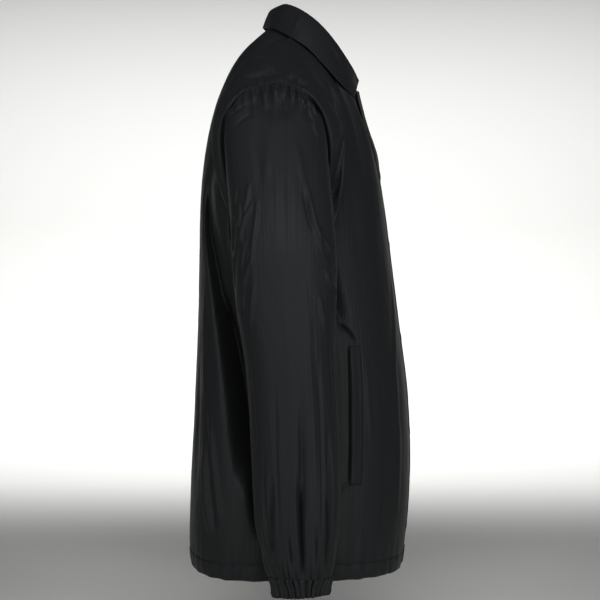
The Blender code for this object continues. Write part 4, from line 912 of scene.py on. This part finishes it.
snap = {
    "heights": (-0.15, -0.28, -0.41, -0.54, -0.67),
    "profile": ((0.0, 0.0011), (0.003, 0.0011), (0.005, 0.0009),  # radius and rise, from middle to rim
                (0.006, 0.0006), (0.0064, 0.0002), (0.006, 0.0)),
    "proud": 0.0005, "steps": 32, "wall": 0.0004, "flat": (0.02, 0.01),
}


# cap turned round the normal of the cloth: radius times cosine and sine in its plane, rise along the axis
def capPoints(seat, ahead):
    upward = unit(ahead - seat)
    axis = unit(np.cross(np.array([1.0, 0, 0]), ahead - seat))
    sideways = np.cross(upward, axis)
    radii, rises = np.array(snap["profile"]).T
    angle, radius = np.meshgrid(np.linspace(0, 2 * math.pi, snap["steps"], endpoint=False), radii)
    middle = seat + (snap["proud"] + rises)[:, None, None] * axis
    return (middle + (radius * np.cos(angle))[..., None] * sideways
            + (radius * np.sin(angle))[..., None] * upward)


for number, height in enumerate(snap["heights"], 1):
    level = np.array([[height, height + 0.004]])
    u = np.full_like(level, frontFace["centreU"])
    points = capPoints(*panelPoints(frontFace, frontCreases["left"], u, level, 1, frontStart[1])[0])
    cap = gridPiece("snapCap%d" % number, points, snap["flat"], ring=True, flip=True, thickness=snap["wall"])
    dress(cap, "snap_%d" % number, enamel)
print("snaps made")

print("sheets declared:", len(cuts))

studio = {
    "floor": ((-6.0, -0.86), (2.6, -0.86), (3.1, -0.83), (3.5, -0.7),  # away from the camera, height
              (3.75, -0.45), (3.85, -0.1), (3.9, 1.7)),
    "floorHalf": 6.0, "floorWall": 0.001,
    "boxes": {  # place, target, width and height, watts, spread of the honeycomb in front of the box
        "backSideBox": ((-2.26, 2.26, 0.0), (0, 0, -0.2), (1.3, 1.5), 4.9, 1.1),
        "frontSideBox": ((-2.38, -2.14, 0.0), (0, 0, -0.2), (1.3, 1.5), 7.1, 1.1),
        "fillBox": ((-2.9, 0.0, 1.0), (0, 0, -0.02), (1.6, 1.2), 12.0, 1.1),
        "backdropBox": ((2.4, 0.0, 1.3), (3.5, 0, -0.8), (3.8, 0.6), 42, 1.9),
    },
    "air": "#e4e5e6", "airStrength": 0.04,
    "camera": (-2.65, 0, -0.3586), "lens": 114.4, "sensor": 36,  # lens and sensor in millimetres
}
across = np.linspace(-studio["floorHalf"], studio["floorHalf"], 9)
points = np.stack([xyz(x, across, z) for x, z in studio["floor"]])
floor = gridPiece("paleFloor", points, (12, 12), flip=True, thickness=studio["floorWall"])
floor.data.materials.append(paint)


# soft box turned to its target: its axes are the cross products of the line of sight with the upright
def softBox(name, place, target, size, power, spread):
    data = bpy.data.lights.new(name, "AREA")
    data.shape, data.size, data.size_y, data.energy = "RECTANGLE", size[0], size[1], power
    data.spread = spread
    lamp = bpy.data.objects.new(name, data)
    bpy.context.scene.collection.objects.link(lamp)
    forward = unit(np.array(target, float) - np.array(place, float))
    lamp.location = place
    sideways = unit(np.cross(forward, np.array([0, 0, 1.0])))
    up = np.cross(sideways, forward)
    lamp.rotation_euler = Matrix(np.stack([sideways, up, -forward], 1).tolist()).to_euler()


for name, settings in studio["boxes"].items():
    softBox(name, *settings)
world = bpy.data.worlds.new("studio")
world.use_nodes = True
world.node_tree.nodes["Background"].inputs["Color"].default_value = linear(studio["air"])
world.node_tree.nodes["Background"].inputs["Strength"].default_value = studio["airStrength"]
bpy.context.scene.world = world
bpy.context.scene.view_settings.view_transform = "Standard"

lens = bpy.data.cameras.new("camera")
lens.lens, lens.sensor_width = studio["lens"], studio["sensor"]
camera = bpy.data.objects.new("camera", lens)
camera.location = studio["camera"]
camera.rotation_euler = (math.pi / 2, 0, -math.pi / 2)
bpy.context.scene.collection.objects.link(camera)
bpy.context.scene.camera = camera
print("studio set:", len(studio["boxes"]), "soft boxes")
